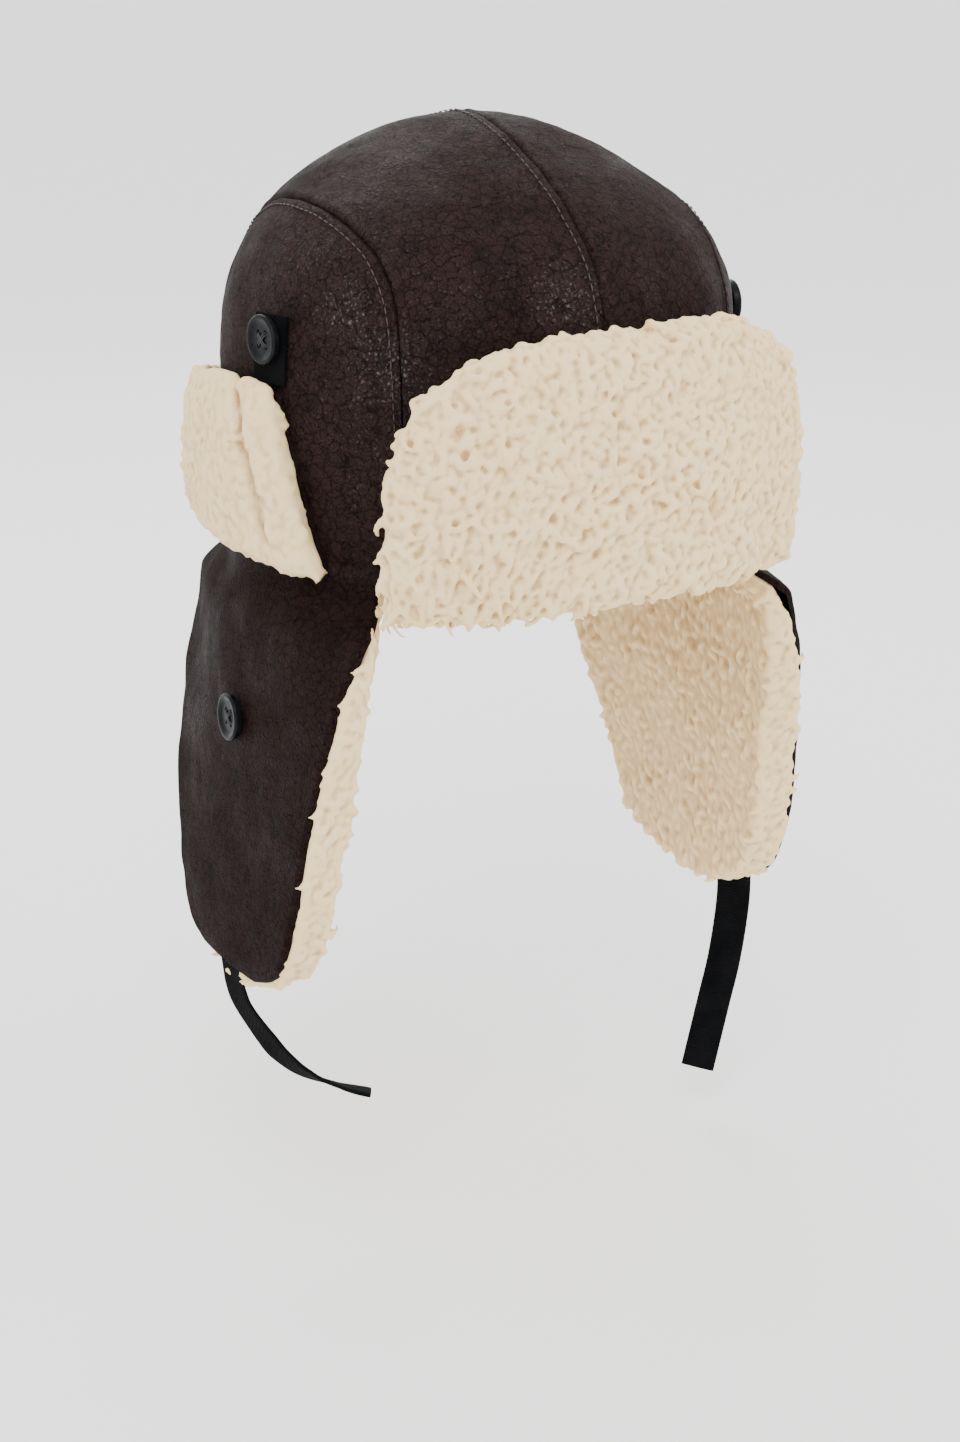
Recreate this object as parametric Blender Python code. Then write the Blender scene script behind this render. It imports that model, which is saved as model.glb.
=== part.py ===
"""Aviator cap: a leather crown lined with fleece, fleece flaps turned up at the front
and the nape, two hanging ear flaps with short straps, and four buttons.

Metres, +Z up, the face of the cap looks along -Y, the wearer's right side is -X.
The origin is the middle of the head opening, level with the lower edge of the crown.
A turn is the angle in degrees round the head from the front, towards the right side.
"""
import math

import bmesh
import bpy
from mathutils import Vector

# Crown
CROWN_HALF_WIDTH = 0.100
CROWN_FRONT_DEPTH = 0.097
CROWN_BACK_DEPTH = 0.106
CROWN_HEIGHT = 0.163
CROWN_LEAN = 0.011
CROWN_SLUMP = 0.0015
CROWN_SLUMP_START = 0.096
LEATHER = 0.0015
LINING = 0.008
LINING_EASE = 0.0023
CLEARANCE = 0.0003
DENT_INWARD = 0.7
DENT_DOWN = 0.5

# Turned-up flap over the forehead
FRONT_FLAP_HEIGHT = 0.0945
FRONT_FLAP_HALF_TURN = 45.5
FRONT_FLAP_SHIFT = -2.0
FRONT_FLAP_FLEECE = 0.0125
FRONT_FLAP_FLARE = 0.014
FRONT_FLAP_TILT = 0.005
FLAP_ROLL = 0.004
FLAP_STANDOFF = 0.0008
FLAP_BACK = FLAP_STANDOFF + LEATHER + 2.0 * CLEARANCE
FLAP_UNDER = 2.5 * CLEARANCE
BACKING_SHARE = 0.93
FRONT_BACKING_WIDTH = 0.985

# Turned-up flap round the nape
NAPE_FLAP_HEIGHT = 0.0745
NAPE_FLAP_LOW_TURN = 60.0
NAPE_FLAP_TOP_TURN = 75.0
NAPE_FLAP_FLEECE = 0.0105
NAPE_FOOT_OUT = (0.25, 0.70)
NAPE_BACKING_WIDTH = 0.996

# Ear flaps
EAR_FLAP_DROP = 0.160
EAR_FLAP_SAG = 0.003
EAR_FLAP_REACH = 0.080
EAR_FRONT_TURN = 49.0
EAR_BACK_TURN = 132.0
EAR_FLEECE = 0.0165
EAR_PUFF = 0.002

# Straps
STRAP_WIDTH = 0.0145
STRAP_THICKNESS = 0.0018

# Buttons and the tabs that they hold
BUTTON_DIAMETER = 0.0185
BUTTON_THICKNESS = 0.0034
BUTTON_RIM = 0.0022
BUTTON_DISH = 0.0011
BUTTON_HOLE = 0.0019
BUTTON_HOLE_SPREAD = 0.0048
CROWN_BUTTON_TURN = 77.5
BUTTON_ABOVE_FLAP = 0.0118
CROWN_BUTTON_HEIGHT = NAPE_FLAP_HEIGHT + BUTTON_ABOVE_FLAP
EAR_BUTTON_DROP = 0.0600
EAR_BUTTON_ALONG = 0.46
TAB_WIDTH = 0.0190
TAB_THICKNESS = 0.0012
TAB_ABOVE_BUTTON = 0.0088
TAB_TO_BUTTON = 3.0 * CLEARANCE
EAR_TO_BUTTON = 1.5 * CLEARANCE

# Profile of the crown from its lower edge to its top, in even steps:
# radius share, height share.
CROWN_PROFILE = (
    (1.000, 0.000),
    (1.004, 0.155),
    (1.004, 0.310),
    (1.002, 0.460),
    (0.980, 0.603),
    (0.910, 0.714),
    (0.789, 0.798),
    (0.622, 0.874),
    (0.426, 0.937),
    (0.215, 0.982),
    (0.000, 1.000),
)

# Seam between a side panel and the top panels: turn, rise share.
SIDE_SEAM = (
    (43.0, 0.00),
    (43.5, 0.20),
    (44.5, 0.38),
    (50.0, 0.50),
    (62.0, 0.58),
    (90.0, 0.63),
    (116.0, 0.59),
    (130.0, 0.50),
    (136.5, 0.38),
    (138.0, 0.20),
    (139.0, 0.00),
)

# Dents pressed into the crown: turn, rise share, radius of the dent as a turn,
# radius as a rise share, depth as a share of the crown's half width. Each panel and
# its mirrored partner take the same dents.
CROWN_DENTS = (
    (128.0, 0.50, 24.0, 0.12, 0.020),
    (20.0, 0.62, 26.0, 0.12, 0.012),
    (84.0, 0.46, 22.0, 0.14, 0.012),
)

# Face and back of a turned-up flap: outward share of the fleece, height share.
FLAP_FACE = (
    (1.00, 0.06),
    (1.14, 0.30),
    (1.16, 0.55),
    (1.00, 0.80),
    (0.72, 0.95),
    (0.36, 1.00),
    (0.06, 0.95),
    (0.00, 0.80),
    (0.00, 0.60),
    (0.00, 0.40),
    (0.00, 0.20),
    (0.00, 0.03),
)

# Outline of the front flap from its middle to its end: along share, height share,
# fleece share.
FRONT_FLAP_ENDS = (
    (0.00, 1.00, 1.00),
    (0.40, 1.00, 1.00),
    (0.60, 0.97, 1.00),
    (0.77, 0.90, 1.00),
    (0.87, 0.83, 0.98),
    (0.94, 0.72, 0.90),
    (0.98, 0.58, 0.76),
    (1.00, 0.46, 0.55),
)

# Outline of the nape flap from the back seam to its end, with the same columns and
# the height share of its fold, which rides up over the top of the ear flaps.
NAPE_FLAP_ENDS = (
    (0.00, 0.76, 1.00, 0.02),
    (0.35, 0.79, 1.00, 0.06),
    (0.55, 0.86, 1.03, 0.14),
    (0.68, 0.92, 1.05, 0.14),
    (0.78, 0.97, 1.06, 0.10),
    (0.90, 1.00, 1.00, 0.05),
    (0.97, 0.99, 0.90, 0.02),
    (1.00, 0.96, 0.62, 0.02),
)

# Rows of an ear flap from the crown to its foot. Drop share of the flap, front and
# back edge as shares of the reach, and how far the front, the middle and the back
# stand out from the middle of the head, as shares of the crown's half width.
EAR_ROWS = (
    (0.00, -1.060, 0.930, 0.870, 1.030, 0.850),
    (0.09, -1.050, 0.960, 0.920, 1.055, 0.885),
    (0.18, -1.010, 0.970, 0.980, 1.070, 0.910),
    (0.33, -0.970, 0.940, 1.050, 1.095, 0.970),
    (0.50, -0.890, 0.820, 1.085, 1.125, 1.050),
    (0.67, -0.815, 0.720, 1.115, 1.150, 1.110),
    (0.80, -0.750, 0.640, 1.130, 1.158, 1.130),
    (0.90, -0.660, 0.560, 1.140, 1.160, 1.140),
    (0.96, -0.540, 0.430, 1.145, 1.165, 1.155),
    (1.00, -0.330, 0.190, 1.155, 1.165, 1.16),
)

# Drop share over which an ear flap bends from the curve of the head to its own
# hanging form.
EAR_BEND = 0.12
EAR_THICKENS_BY = 0.35

# Routes of the straps below the foot of each ear flap, as each one hangs: inward,
# back and down from the strap's root, and the turn of its width from fore and aft.
STRAP_ROUTE_RIGHT = (
    (0.000, 0.000, 0.000, 8.0),
    (0.003, -0.001, -0.012, 12.0),
    (0.009, -0.005, -0.024, 18.0),
    (0.016, -0.010, -0.035, 24.0),
    (0.025, -0.015, -0.043, 26.0),
    (0.036, -0.021, -0.048, 24.0),
    (0.047, -0.027, -0.051, 20.0),
)
STRAP_ROUTE_LEFT = (
    (-0.007, 0.000, 0.000, -56.0),
    (-0.007, 0.000, -0.016, -56.0),
    (-0.006, 0.001, -0.032, -54.0),
    (-0.004, 0.002, -0.048, -52.0),
    (-0.001, 0.003, -0.063, -52.0),
    (0.003, 0.003, -0.079, -54.0),
    (0.008, 0.002, -0.096, -56.0),
)
STRAP_ROOT_ALONG = 0.46
STRAP_TO_FLAP = 2.0 * CLEARANCE

LEATHER_BROWN = (0.052, 0.024, 0.019)
FLEECE_CREAM = (0.800, 0.700, 0.545)
WEB_BLACK = (0.009, 0.010, 0.012)
BUTTON_BLACK = (0.020, 0.021, 0.024)

CROWN_ROWS = 7
RIM_COLUMNS = 4
SIDE_ROWS = 9
SIDE_COLUMNS = 18
LINING_ROWS = 8
LINING_COLUMNS = 24
FRONT_FLAP_COLUMNS = 22
NAPE_FLAP_COLUMNS = 30
EAR_COLUMNS = 10
EAR_STEPS = 14
FLAP_ROWS = 4
STRAP_STEPS = 14
STRAP_RUN_STEP = 0.01
FACE_STEP = 0.004
SIDE_FOOT_EASE = 0.14
BUTTON_SIDES = 24
BUTTON_HOLE_SIDES = 8


def curve_at(rows, share):
    """Read a table of rows as one smooth curve, in even steps from 0 to 1."""
    steps = len(rows) - 1
    place = share * steps
    index = min(max(int(math.floor(place)), 0), steps - 1)
    part = place - index
    before = rows[max(index - 1, 0)]
    start = rows[index]
    end = rows[index + 1]
    after = rows[min(index + 2, steps)]
    if part < 0.0 or part > 1.0:
        return [a + (b - a) * part for a, b in zip(start, end)]
    values = []
    for p0, p1, p2, p3 in zip(before, start, end, after):
        slope_in = (p2 - p0) / 2.0
        slope_out = (p3 - p1) / 2.0
        bend = 2.0 * p1 - 2.0 * p2 + slope_in + slope_out
        lean = 3.0 * p2 - 3.0 * p1 - 2.0 * slope_in - slope_out
        values.append(((bend * part + lean) * part + slope_in) * part + p1)
    return values


def row_at(rows, key):
    """Read a table by its first column, in straight lines between its rows."""
    for low, high in zip(rows, rows[1:]):
        if key <= high[0]:
            part = (key - low[0]) / (high[0] - low[0])
            part = min(max(part, 0.0), 1.0)
            return [a + (b - a) * part for a, b in zip(low[1:], high[1:])]
    return list(rows[-1][1:])


def depth_towards(turn_cosine):
    """Half length of the crown on the side that a turn looks to."""
    return CROWN_FRONT_DEPTH if turn_cosine >= 0.0 else CROWN_BACK_DEPTH


def crown_at(forward, sideways):
    """Point of the crown's outer face for a place on a flat disc whose rim is the
    lower edge of the crown and whose middle is its top."""
    reach = math.hypot(forward, sideways)
    turn = math.atan2(sideways, forward)
    rise = 1.0 - reach
    radius, height = curve_at(CROWN_PROFILE, rise)
    sunk = 0.0
    for dent_turn, dent_rise, turn_size, rise_size, depth in CROWN_DENTS:
        away = (math.degrees(turn) - dent_turn + 180.0) % 360.0 - 180.0
        far = (away / turn_size) ** 2 + ((rise - dent_rise) / rise_size) ** 2
        sunk += depth * math.exp(-far)
    radius -= sunk * DENT_INWARD
    height -= sunk * DENT_DOWN
    depth_here = depth_towards(math.cos(turn))
    return Vector((
        -CROWN_HALF_WIDTH * radius * math.sin(turn),
        CROWN_LEAN * (1.0 - radius) - depth_here * radius * math.cos(turn),
        CROWN_HEIGHT * height,
    ))


def offset_point(face, u, v, offset):
    """Point at an offset outside a face that is given as a function of u and v."""
    along_u = face(u + FACE_STEP, v) - face(u - FACE_STEP, v)
    along_v = face(u, v + FACE_STEP) - face(u, v - FACE_STEP)
    normal = along_u.cross(along_v)
    if normal.length < 1e-12:
        normal = Vector((0.0, 0.0, 1.0))
    return face(u, v) + normal.normalized() * offset


def crown_offset(place, offset):
    """Point at an offset outside the crown, for a place on the disc."""
    forward, sideways = place
    return offset_point(lambda v, u: crown_at(u, v), sideways, forward, offset)


def wall_radius(height):
    """Radius share of the crown at a height above its lower edge."""
    share = height / CROWN_HEIGHT
    if share <= 0.0:
        return CROWN_PROFILE[0][0]
    low, high = 0.0, 1.0
    for _ in range(30):
        middle = (low + high) / 2.0
        if curve_at(CROWN_PROFILE, middle)[1] < share:
            low = middle
        else:
            high = middle
    return curve_at(CROWN_PROFILE, low)[0]


def wall_point(turn, offset, height):
    """Point beside the crown's wall, level outwards from it."""
    angle = math.radians(turn)
    depth_here = depth_towards(math.cos(angle))
    radius = wall_radius(height)
    x = -CROWN_HALF_WIDTH * radius * math.sin(angle)
    y = -depth_here * radius * math.cos(angle)
    out = Vector((x / CROWN_HALF_WIDTH ** 2, y / depth_here ** 2, 0.0)).normalized()
    return Vector((x, y, height)) + out * offset


def material(name, colour, roughness):
    """One plain finish."""
    finish = bpy.data.materials.new(name)
    finish.use_nodes = True
    shader = finish.node_tree.nodes["Principled BSDF"]
    shader.inputs["Base Color"].default_value = (*colour, 1.0)
    shader.inputs["Roughness"].default_value = roughness
    shader.inputs["Metallic"].default_value = 0.0
    return finish


def finish_body(name, body, colour, roughness, crease=50.0):
    """Close, orient and smooth a body and add it to the scene."""
    bmesh.ops.remove_doubles(body, verts=body.verts, dist=0.00002)
    bmesh.ops.dissolve_degenerate(body, edges=body.edges, dist=0.00002)
    bmesh.ops.recalc_face_normals(body, faces=body.faces)
    mesh = bpy.data.meshes.new(name)
    body.to_mesh(mesh)
    body.free()
    mesh.shade_smooth()
    mesh.set_sharp_from_angle(angle=math.radians(crease))
    mesh.materials.append(material(name, colour, roughness))
    piece = bpy.data.objects.new(name, mesh)
    bpy.context.collection.objects.link(piece)
    return piece


def mirrored(point, side):
    """A point of the right half for side -1, and its mirror for side 1."""
    return Vector((-side * point.x, point.y, point.z))


def sheet_body(outer, inner, closed=False):
    """Closed body between two grids of points with the same rows and columns."""
    body = bmesh.new()
    faces = []
    for grid in (outer, inner):
        faces.append([[body.verts.new(point) for point in row] for row in grid])
    rows = len(outer)
    columns = len(outer[0])
    span = columns if closed else columns - 1
    for layer in faces:
        for i in range(rows - 1):
            for j in range(span):
                k = (j + 1) % columns
                quad = (layer[i][j], layer[i][k], layer[i + 1][k], layer[i + 1][j])
                body.faces.new(quad)
    rim = []
    for i in (0, rows - 1):
        rim.extend(((i, j), (i, (j + 1) % columns)) for j in range(span))
    if not closed:
        for j in (0, columns - 1):
            rim.extend(((i, j), (i + 1, j)) for i in range(rows - 1))
    for (a, b), (c, d) in rim:
        quad = (faces[0][a][b], faces[0][c][d], faces[1][c][d], faces[1][a][b])
        body.faces.new(quad)
    return body


def swept_body(sections):
    """Closed body through a row of sections, capped at both ends."""
    body = bmesh.new()
    rings = [[body.verts.new(point) for point in section] for section in sections]
    count = len(rings[0])
    for ring, after in zip(rings, rings[1:]):
        for j in range(count):
            k = (j + 1) % count
            body.faces.new((ring[j], ring[k], after[k], after[j]))
    for ring in (rings[0], rings[-1]):
        cap = body.faces.new(ring)
        cap.normal_update()
        bmesh.ops.triangulate(body, faces=[cap], ngon_method="EAR_CLIP")
    return body


def disc_place(turn, rise):
    """Place on the flat disc for a turn and a rise share."""
    angle = math.radians(turn)
    reach = 1.0 - rise
    return (reach * math.cos(angle), reach * math.sin(angle))


def seam_place(share):
    """Place on the disc along the side seam, from front to back."""
    places = [disc_place(turn, rise) for turn, rise in SIDE_SEAM]
    return curve_at(places, share)


def pulled_apart(grid, sewn_rows):
    """Move the sewn edges of a panel back by half the clearance."""
    half = CLEARANCE / 2.0
    for row in sewn_rows:
        inside = 1 if row == 0 else row - 1
        for j, point in enumerate(grid[row]):
            step = grid[inside][j] - point
            if step.length > half:
                grid[row][j] = point + step.normalized() * half
    return grid


def slumped(point):
    """Lean of the soft roof towards the wearer's right."""
    high = max(point.z - CROWN_SLUMP_START, 0.0) / (CROWN_HEIGHT - CROWN_SLUMP_START)
    return Vector((point.x - CROWN_SLUMP * high, point.y, point.z))


def side_panel(side):
    """Panel over the ear: a tall arch whose foot is the lower edge of the crown."""
    front_turn = SIDE_SEAM[0][0]
    back_turn = SIDE_SEAM[-1][0]
    grids = []
    for offset in (0.0, -LEATHER):
        grid = []
        for i in range(SIDE_ROWS + 1):
            up = i / SIDE_ROWS
            row = []
            for j in range(SIDE_COLUMNS + 1):
                along = j / SIDE_COLUMNS
                eased = along - SIDE_FOOT_EASE * math.sin(2.0 * math.pi * along)
                foot = disc_place(front_turn + (back_turn - front_turn) * eased, 0.0)
                head = seam_place(along)
                place = [a + (b - a) * up for a, b in zip(foot, head)]
                row.append(slumped(mirrored(crown_offset(place, offset), side)))
            grid.append(row)
        grids.append(pulled_apart(grid, (SIDE_ROWS,)))
    return sheet_body(*grids)


def top_edge_place(column):
    """Outer edge of a top panel on the disc: front rim, side seam, back rim."""
    front_turn = SIDE_SEAM[0][0]
    back_turn = SIDE_SEAM[-1][0]
    seam_column = column - RIM_COLUMNS
    if seam_column < 0:
        return disc_place(front_turn * column / RIM_COLUMNS, 0.0)
    if seam_column <= SIDE_COLUMNS:
        return seam_place(seam_column / SIDE_COLUMNS)
    part = (seam_column - SIDE_COLUMNS) / RIM_COLUMNS
    return disc_place(back_turn + (180.0 - back_turn) * part, 0.0)


def top_panel(side):
    """Half of the top, from the forehead over the head to the nape."""
    grids = []
    for offset in (0.0, -LEATHER):
        grid = []
        for i in range(CROWN_ROWS + 1):
            out = i / CROWN_ROWS
            row = []
            for j in range(SIDE_COLUMNS + 2 * RIM_COLUMNS + 1):
                edge = top_edge_place(j)
                place = (edge[0], edge[1] * out)
                row.append(slumped(mirrored(crown_offset(place, offset), side)))
            grid.append(row)
        grids.append(pulled_apart(grid, (0, CROWN_ROWS)))
    return sheet_body(*grids)


def lining_body():
    """Fleece inside the whole crown, open below for the head."""
    grids = []
    for offset in (-LEATHER - LINING_EASE, -LEATHER - LINING):
        grid = []
        for i in range(LINING_ROWS + 1):
            rise = i / LINING_ROWS
            row = []
            for j in range(LINING_COLUMNS):
                place = disc_place(360.0 * j / LINING_COLUMNS, rise)
                row.append(slumped(crown_offset(place, offset)))
            grid.append(row)
        grids.append(grid)
    return sheet_body(*grids, closed=True)


def rolled_foot(fleece, tuck):
    """Foot of a flap whose fleece passes under the crown's edge to the lining."""
    face = FLAP_BACK + fleece
    under = -FLAP_UNDER
    return [
        (FLAP_BACK, under),
        (-tuck, under),
        (-tuck, under - 0.5 * FLAP_ROLL),
        (-0.6 * tuck, under - 0.95 * FLAP_ROLL),
        (0.45 * face, under - FLAP_ROLL),
        (0.85 * face, under - 0.6 * FLAP_ROLL),
    ]


def flap_face(foot, height, fleece):
    """Face, top and back of a turned-up flap, from its foot to its height."""
    return [
        (FLAP_BACK + outward * fleece, foot + upward * (height - foot))
        for outward, upward in FLAP_FACE
    ]


def front_flap_turn(along):
    """Turn for a place along the front flap, which runs from -1 on the left end to 1
    on the right end."""
    return along * FRONT_FLAP_HALF_TURN + FRONT_FLAP_SHIFT


def front_flap_spread(along, outward, tuck):
    """How far the ends of the front flap stand off the crown."""
    share = min(max((outward + tuck) / (FLAP_BACK + tuck), 0.0), 1.0)
    return FRONT_FLAP_FLARE * along * along * share


def front_flap_fleece():
    """The turned-up fleece over the forehead, rolled round the crown's edge."""
    sections = []
    tuck = LEATHER + CLEARANCE + LINING
    for j in range(FRONT_FLAP_COLUMNS + 1):
        along = math.sin(math.radians(-90.0 + 180.0 * j / FRONT_FLAP_COLUMNS))
        along = 0.5 * along + 0.5 * (-1.0 + 2.0 * j / FRONT_FLAP_COLUMNS)
        height_share, fleece_share = row_at(FRONT_FLAP_ENDS, abs(along))
        height = FRONT_FLAP_HEIGHT * height_share - FRONT_FLAP_TILT * along
        fleece = FRONT_FLAP_FLEECE * fleece_share
        points = []
        for outward, upward in rolled_foot(fleece, tuck) + flap_face(0.0, height, fleece):
            spread = front_flap_spread(along, outward, tuck)
            points.append(wall_point(front_flap_turn(along), outward + spread, upward))
        sections.append(points)
    return swept_body(sections)


def front_flap_backing():
    """Leather that backs the front flap, against the crown."""
    tuck = LEATHER + CLEARANCE + LINING
    grids = []
    for outward in (FLAP_STANDOFF + LEATHER, FLAP_STANDOFF):
        grid = []
        for i in range(FLAP_ROWS + 1):
            up = i / FLAP_ROWS
            row = []
            for j in range(FRONT_FLAP_COLUMNS + 1):
                along = FRONT_BACKING_WIDTH * (-1.0 + 2.0 * j / FRONT_FLAP_COLUMNS)
                height_share = row_at(FRONT_FLAP_ENDS, abs(along))[0]
                height = FRONT_FLAP_HEIGHT * height_share - FRONT_FLAP_TILT * along
                spread = front_flap_spread(along, FLAP_STANDOFF, tuck)
                turn = front_flap_turn(along)
                row.append(wall_point(turn, outward + spread, BACKING_SHARE * height * up))
            grid.append(row)
        grids.append(grid)
    return sheet_body(*grids)


def nape_turn(along, height):
    """Turn for a place along the nape flap, whose ends slope back as they rise."""
    share = min(max(height / NAPE_FLAP_HEIGHT, 0.0), 1.0)
    end = NAPE_FLAP_LOW_TURN + (NAPE_FLAP_TOP_TURN - NAPE_FLAP_LOW_TURN) * share
    return 180.0 + along * (180.0 - end)


def nape_flap_fleece():
    """The turned-up fleece round the nape, standing on the seam of the ear flaps."""
    sections = []
    for j in range(NAPE_FLAP_COLUMNS + 1):
        along = -1.0 + 2.0 * j / NAPE_FLAP_COLUMNS
        height_share, fleece_share, foot_share = row_at(NAPE_FLAP_ENDS, abs(along))
        height = NAPE_FLAP_HEIGHT * height_share
        foot = NAPE_FLAP_HEIGHT * foot_share
        fleece = NAPE_FLAP_FLEECE * fleece_share
        points = []
        for share in NAPE_FOOT_OUT:
            outward = FLAP_BACK + share * fleece
            points.append(wall_point(nape_turn(along, foot), outward, foot))
        for outward, upward in flap_face(foot, height, fleece):
            points.append(wall_point(nape_turn(along, upward), outward, upward))
        sections.append(points)
    return swept_body(sections)


def nape_flap_backing():
    """Leather that backs the nape flap."""
    grids = []
    for outward in (FLAP_STANDOFF + LEATHER, FLAP_STANDOFF):
        grid = []
        for i in range(FLAP_ROWS + 1):
            up = i / FLAP_ROWS
            row = []
            for j in range(NAPE_FLAP_COLUMNS + 1):
                along = NAPE_BACKING_WIDTH * (-1.0 + 2.0 * j / NAPE_FLAP_COLUMNS)
                height_share, _, foot_share = row_at(NAPE_FLAP_ENDS, abs(along))
                rise = BACKING_SHARE * height_share - foot_share
                height = NAPE_FLAP_HEIGHT * (foot_share + rise * up)
                row.append(wall_point(nape_turn(along, height), outward, height))
            grid.append(row)
        grids.append(grid)
    return sheet_body(*grids)


def ear_face(along, drop):
    """Outer face of the right ear flap: along runs from its front edge to its back
    edge, drop from the crown's lower edge to the foot."""
    front, back, out_front, out_middle, out_back = row_at(EAR_ROWS, drop)
    y = EAR_FLAP_REACH * (front + (back - front) * along)
    bow = (
        out_front * (1.0 - along) * (1.0 - 2.0 * along)
        + out_middle * 4.0 * along * (1.0 - along)
        + out_back * along * (2.0 * along - 1.0)
    )
    hung = Vector((-CROWN_HALF_WIDTH * bow, y, 0.0))
    turn = EAR_FRONT_TURN + (EAR_BACK_TURN - EAR_FRONT_TURN) * along
    sewn = wall_point(turn, 0.0, 0.0)
    free = min(max(drop / EAR_BEND, 0.0), 1.0)
    free = free * free * (3.0 - 2.0 * free)
    point = sewn.lerp(hung, free)
    point.z = -EAR_FLAP_DROP * drop
    return point


def ear_offset(along, drop, offset):
    """Point at an offset outside the ear flap's outer face."""
    return offset_point(ear_face, along, drop, offset)


def ear_grid(offset, side, margin, foot_gap):
    """Grid of points at an offset from the ear flap's outer face, with its edges
    moved out by a margin. The right flap hangs a little lower than the left one."""
    grid = []
    stretch = 1.0 - side * EAR_FLAP_SAG / EAR_FLAP_DROP
    for i in range(EAR_STEPS + 1):
        drop = math.sin(math.radians(90.0 * i / EAR_STEPS))
        drop = 0.5 * drop + 0.5 * i / EAR_STEPS
        front, back = row_at(EAR_ROWS, drop)[:2]
        grown = min(max(drop - EAR_BEND, 0.0) / EAR_BEND, 1.0)
        widened = grown * margin / (EAR_FLAP_REACH * (back - front))
        row = []
        for j in range(EAR_COLUMNS + 1):
            along = j / EAR_COLUMNS
            point = ear_offset(along + (2.0 * along - 1.0) ** 3 * widened, drop, offset)
            point.z = stretch * point.z - foot_gap
            point.z -= margin * drop ** 6 * (1.0 - abs(2.0 * along - 1.0) ** 3)
            row.append(mirrored(point, side))
        grid.append(row)
    return grid


def ear_leather(side):
    """Leather outside of an ear flap."""
    outer = ear_grid(0.0, side, 0.0, CLEARANCE)
    inner = ear_grid(-LEATHER, side, 0.0, CLEARANCE)
    return sheet_body(outer, inner)


def ear_fleece(side):
    """Fleece inside of an ear flap, thicker than the crown's lining."""
    start = LEATHER + CLEARANCE
    outer = ear_grid(-start, side, EAR_PUFF, CLEARANCE)
    inner = []
    for i, (thin, thick) in enumerate(zip(
        ear_grid(-start - LINING, side, EAR_PUFF, CLEARANCE),
        ear_grid(-start - EAR_FLEECE, side, EAR_PUFF, CLEARANCE),
    )):
        part = min(i / (EAR_THICKENS_BY * EAR_STEPS), 1.0)
        inner.append([a.lerp(b, part) for a, b in zip(thin, thick)])
    return sheet_body(outer, inner)


def strap_body(side, route):
    """A flat strap from the foot of an ear flap, along its own route."""
    root = ear_offset(STRAP_ROOT_ALONG, 1.0, -0.5 * LEATHER - 0.5 * STRAP_THICKNESS)
    root.z = side * EAR_FLAP_SAG - EAR_FLAP_DROP - EAR_PUFF - STRAP_TO_FLAP
    sections = []
    for i in range(STRAP_STEPS + 1):
        share = i / STRAP_STEPS
        inward, back, down, twist = curve_at(route, share)
        ahead = curve_at(route, min(share + STRAP_RUN_STEP, 1.0))
        behind = curve_at(route, max(share - STRAP_RUN_STEP, 0.0))
        run = Vector([a - b for a, b in zip(ahead[:3], behind[:3])]).normalized()
        if i == 0:
            run = Vector((0.0, 0.0, -1.0))
        angle = math.radians(twist)
        across = Vector((math.sin(angle), -math.cos(angle), 0.0))
        across = (across - run * across.dot(run)).normalized()
        flat = run.cross(across)
        centre = root + Vector((inward, back, down))
        points = []
        for wide, thick in ((-0.5, -0.5), (0.5, -0.5), (0.5, 0.5), (-0.5, 0.5)):
            shift = across * wide * STRAP_WIDTH + flat * thick * STRAP_THICKNESS
            points.append(mirrored(centre + shift, side))
        sections.append(points)
    return swept_body(sections)


def ring_of(body, middle, radius, height, sides, phase):
    """Ring of vertices round a point of a level face."""
    ring = []
    for j in range(sides):
        angle = 2.0 * math.pi * (j + phase) / sides
        x = middle[0] + radius * math.cos(angle)
        y = middle[1] + radius * math.sin(angle)
        ring.append(body.verts.new((x, y, height)))
    return ring


def join_rings(body, low, high):
    """Band of faces between two rings. Returns the edges of each ring."""
    count = len(low)
    for j in range(count):
        k = (j + 1) % count
        body.faces.new((low[j], low[k], high[k], high[j]))
    edges = []
    for ring in (low, high):
        pairs = ((ring[j], ring[(j + 1) % count]) for j in range(count))
        edges.append([body.edges.get(pair) for pair in pairs])
    return edges


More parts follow.
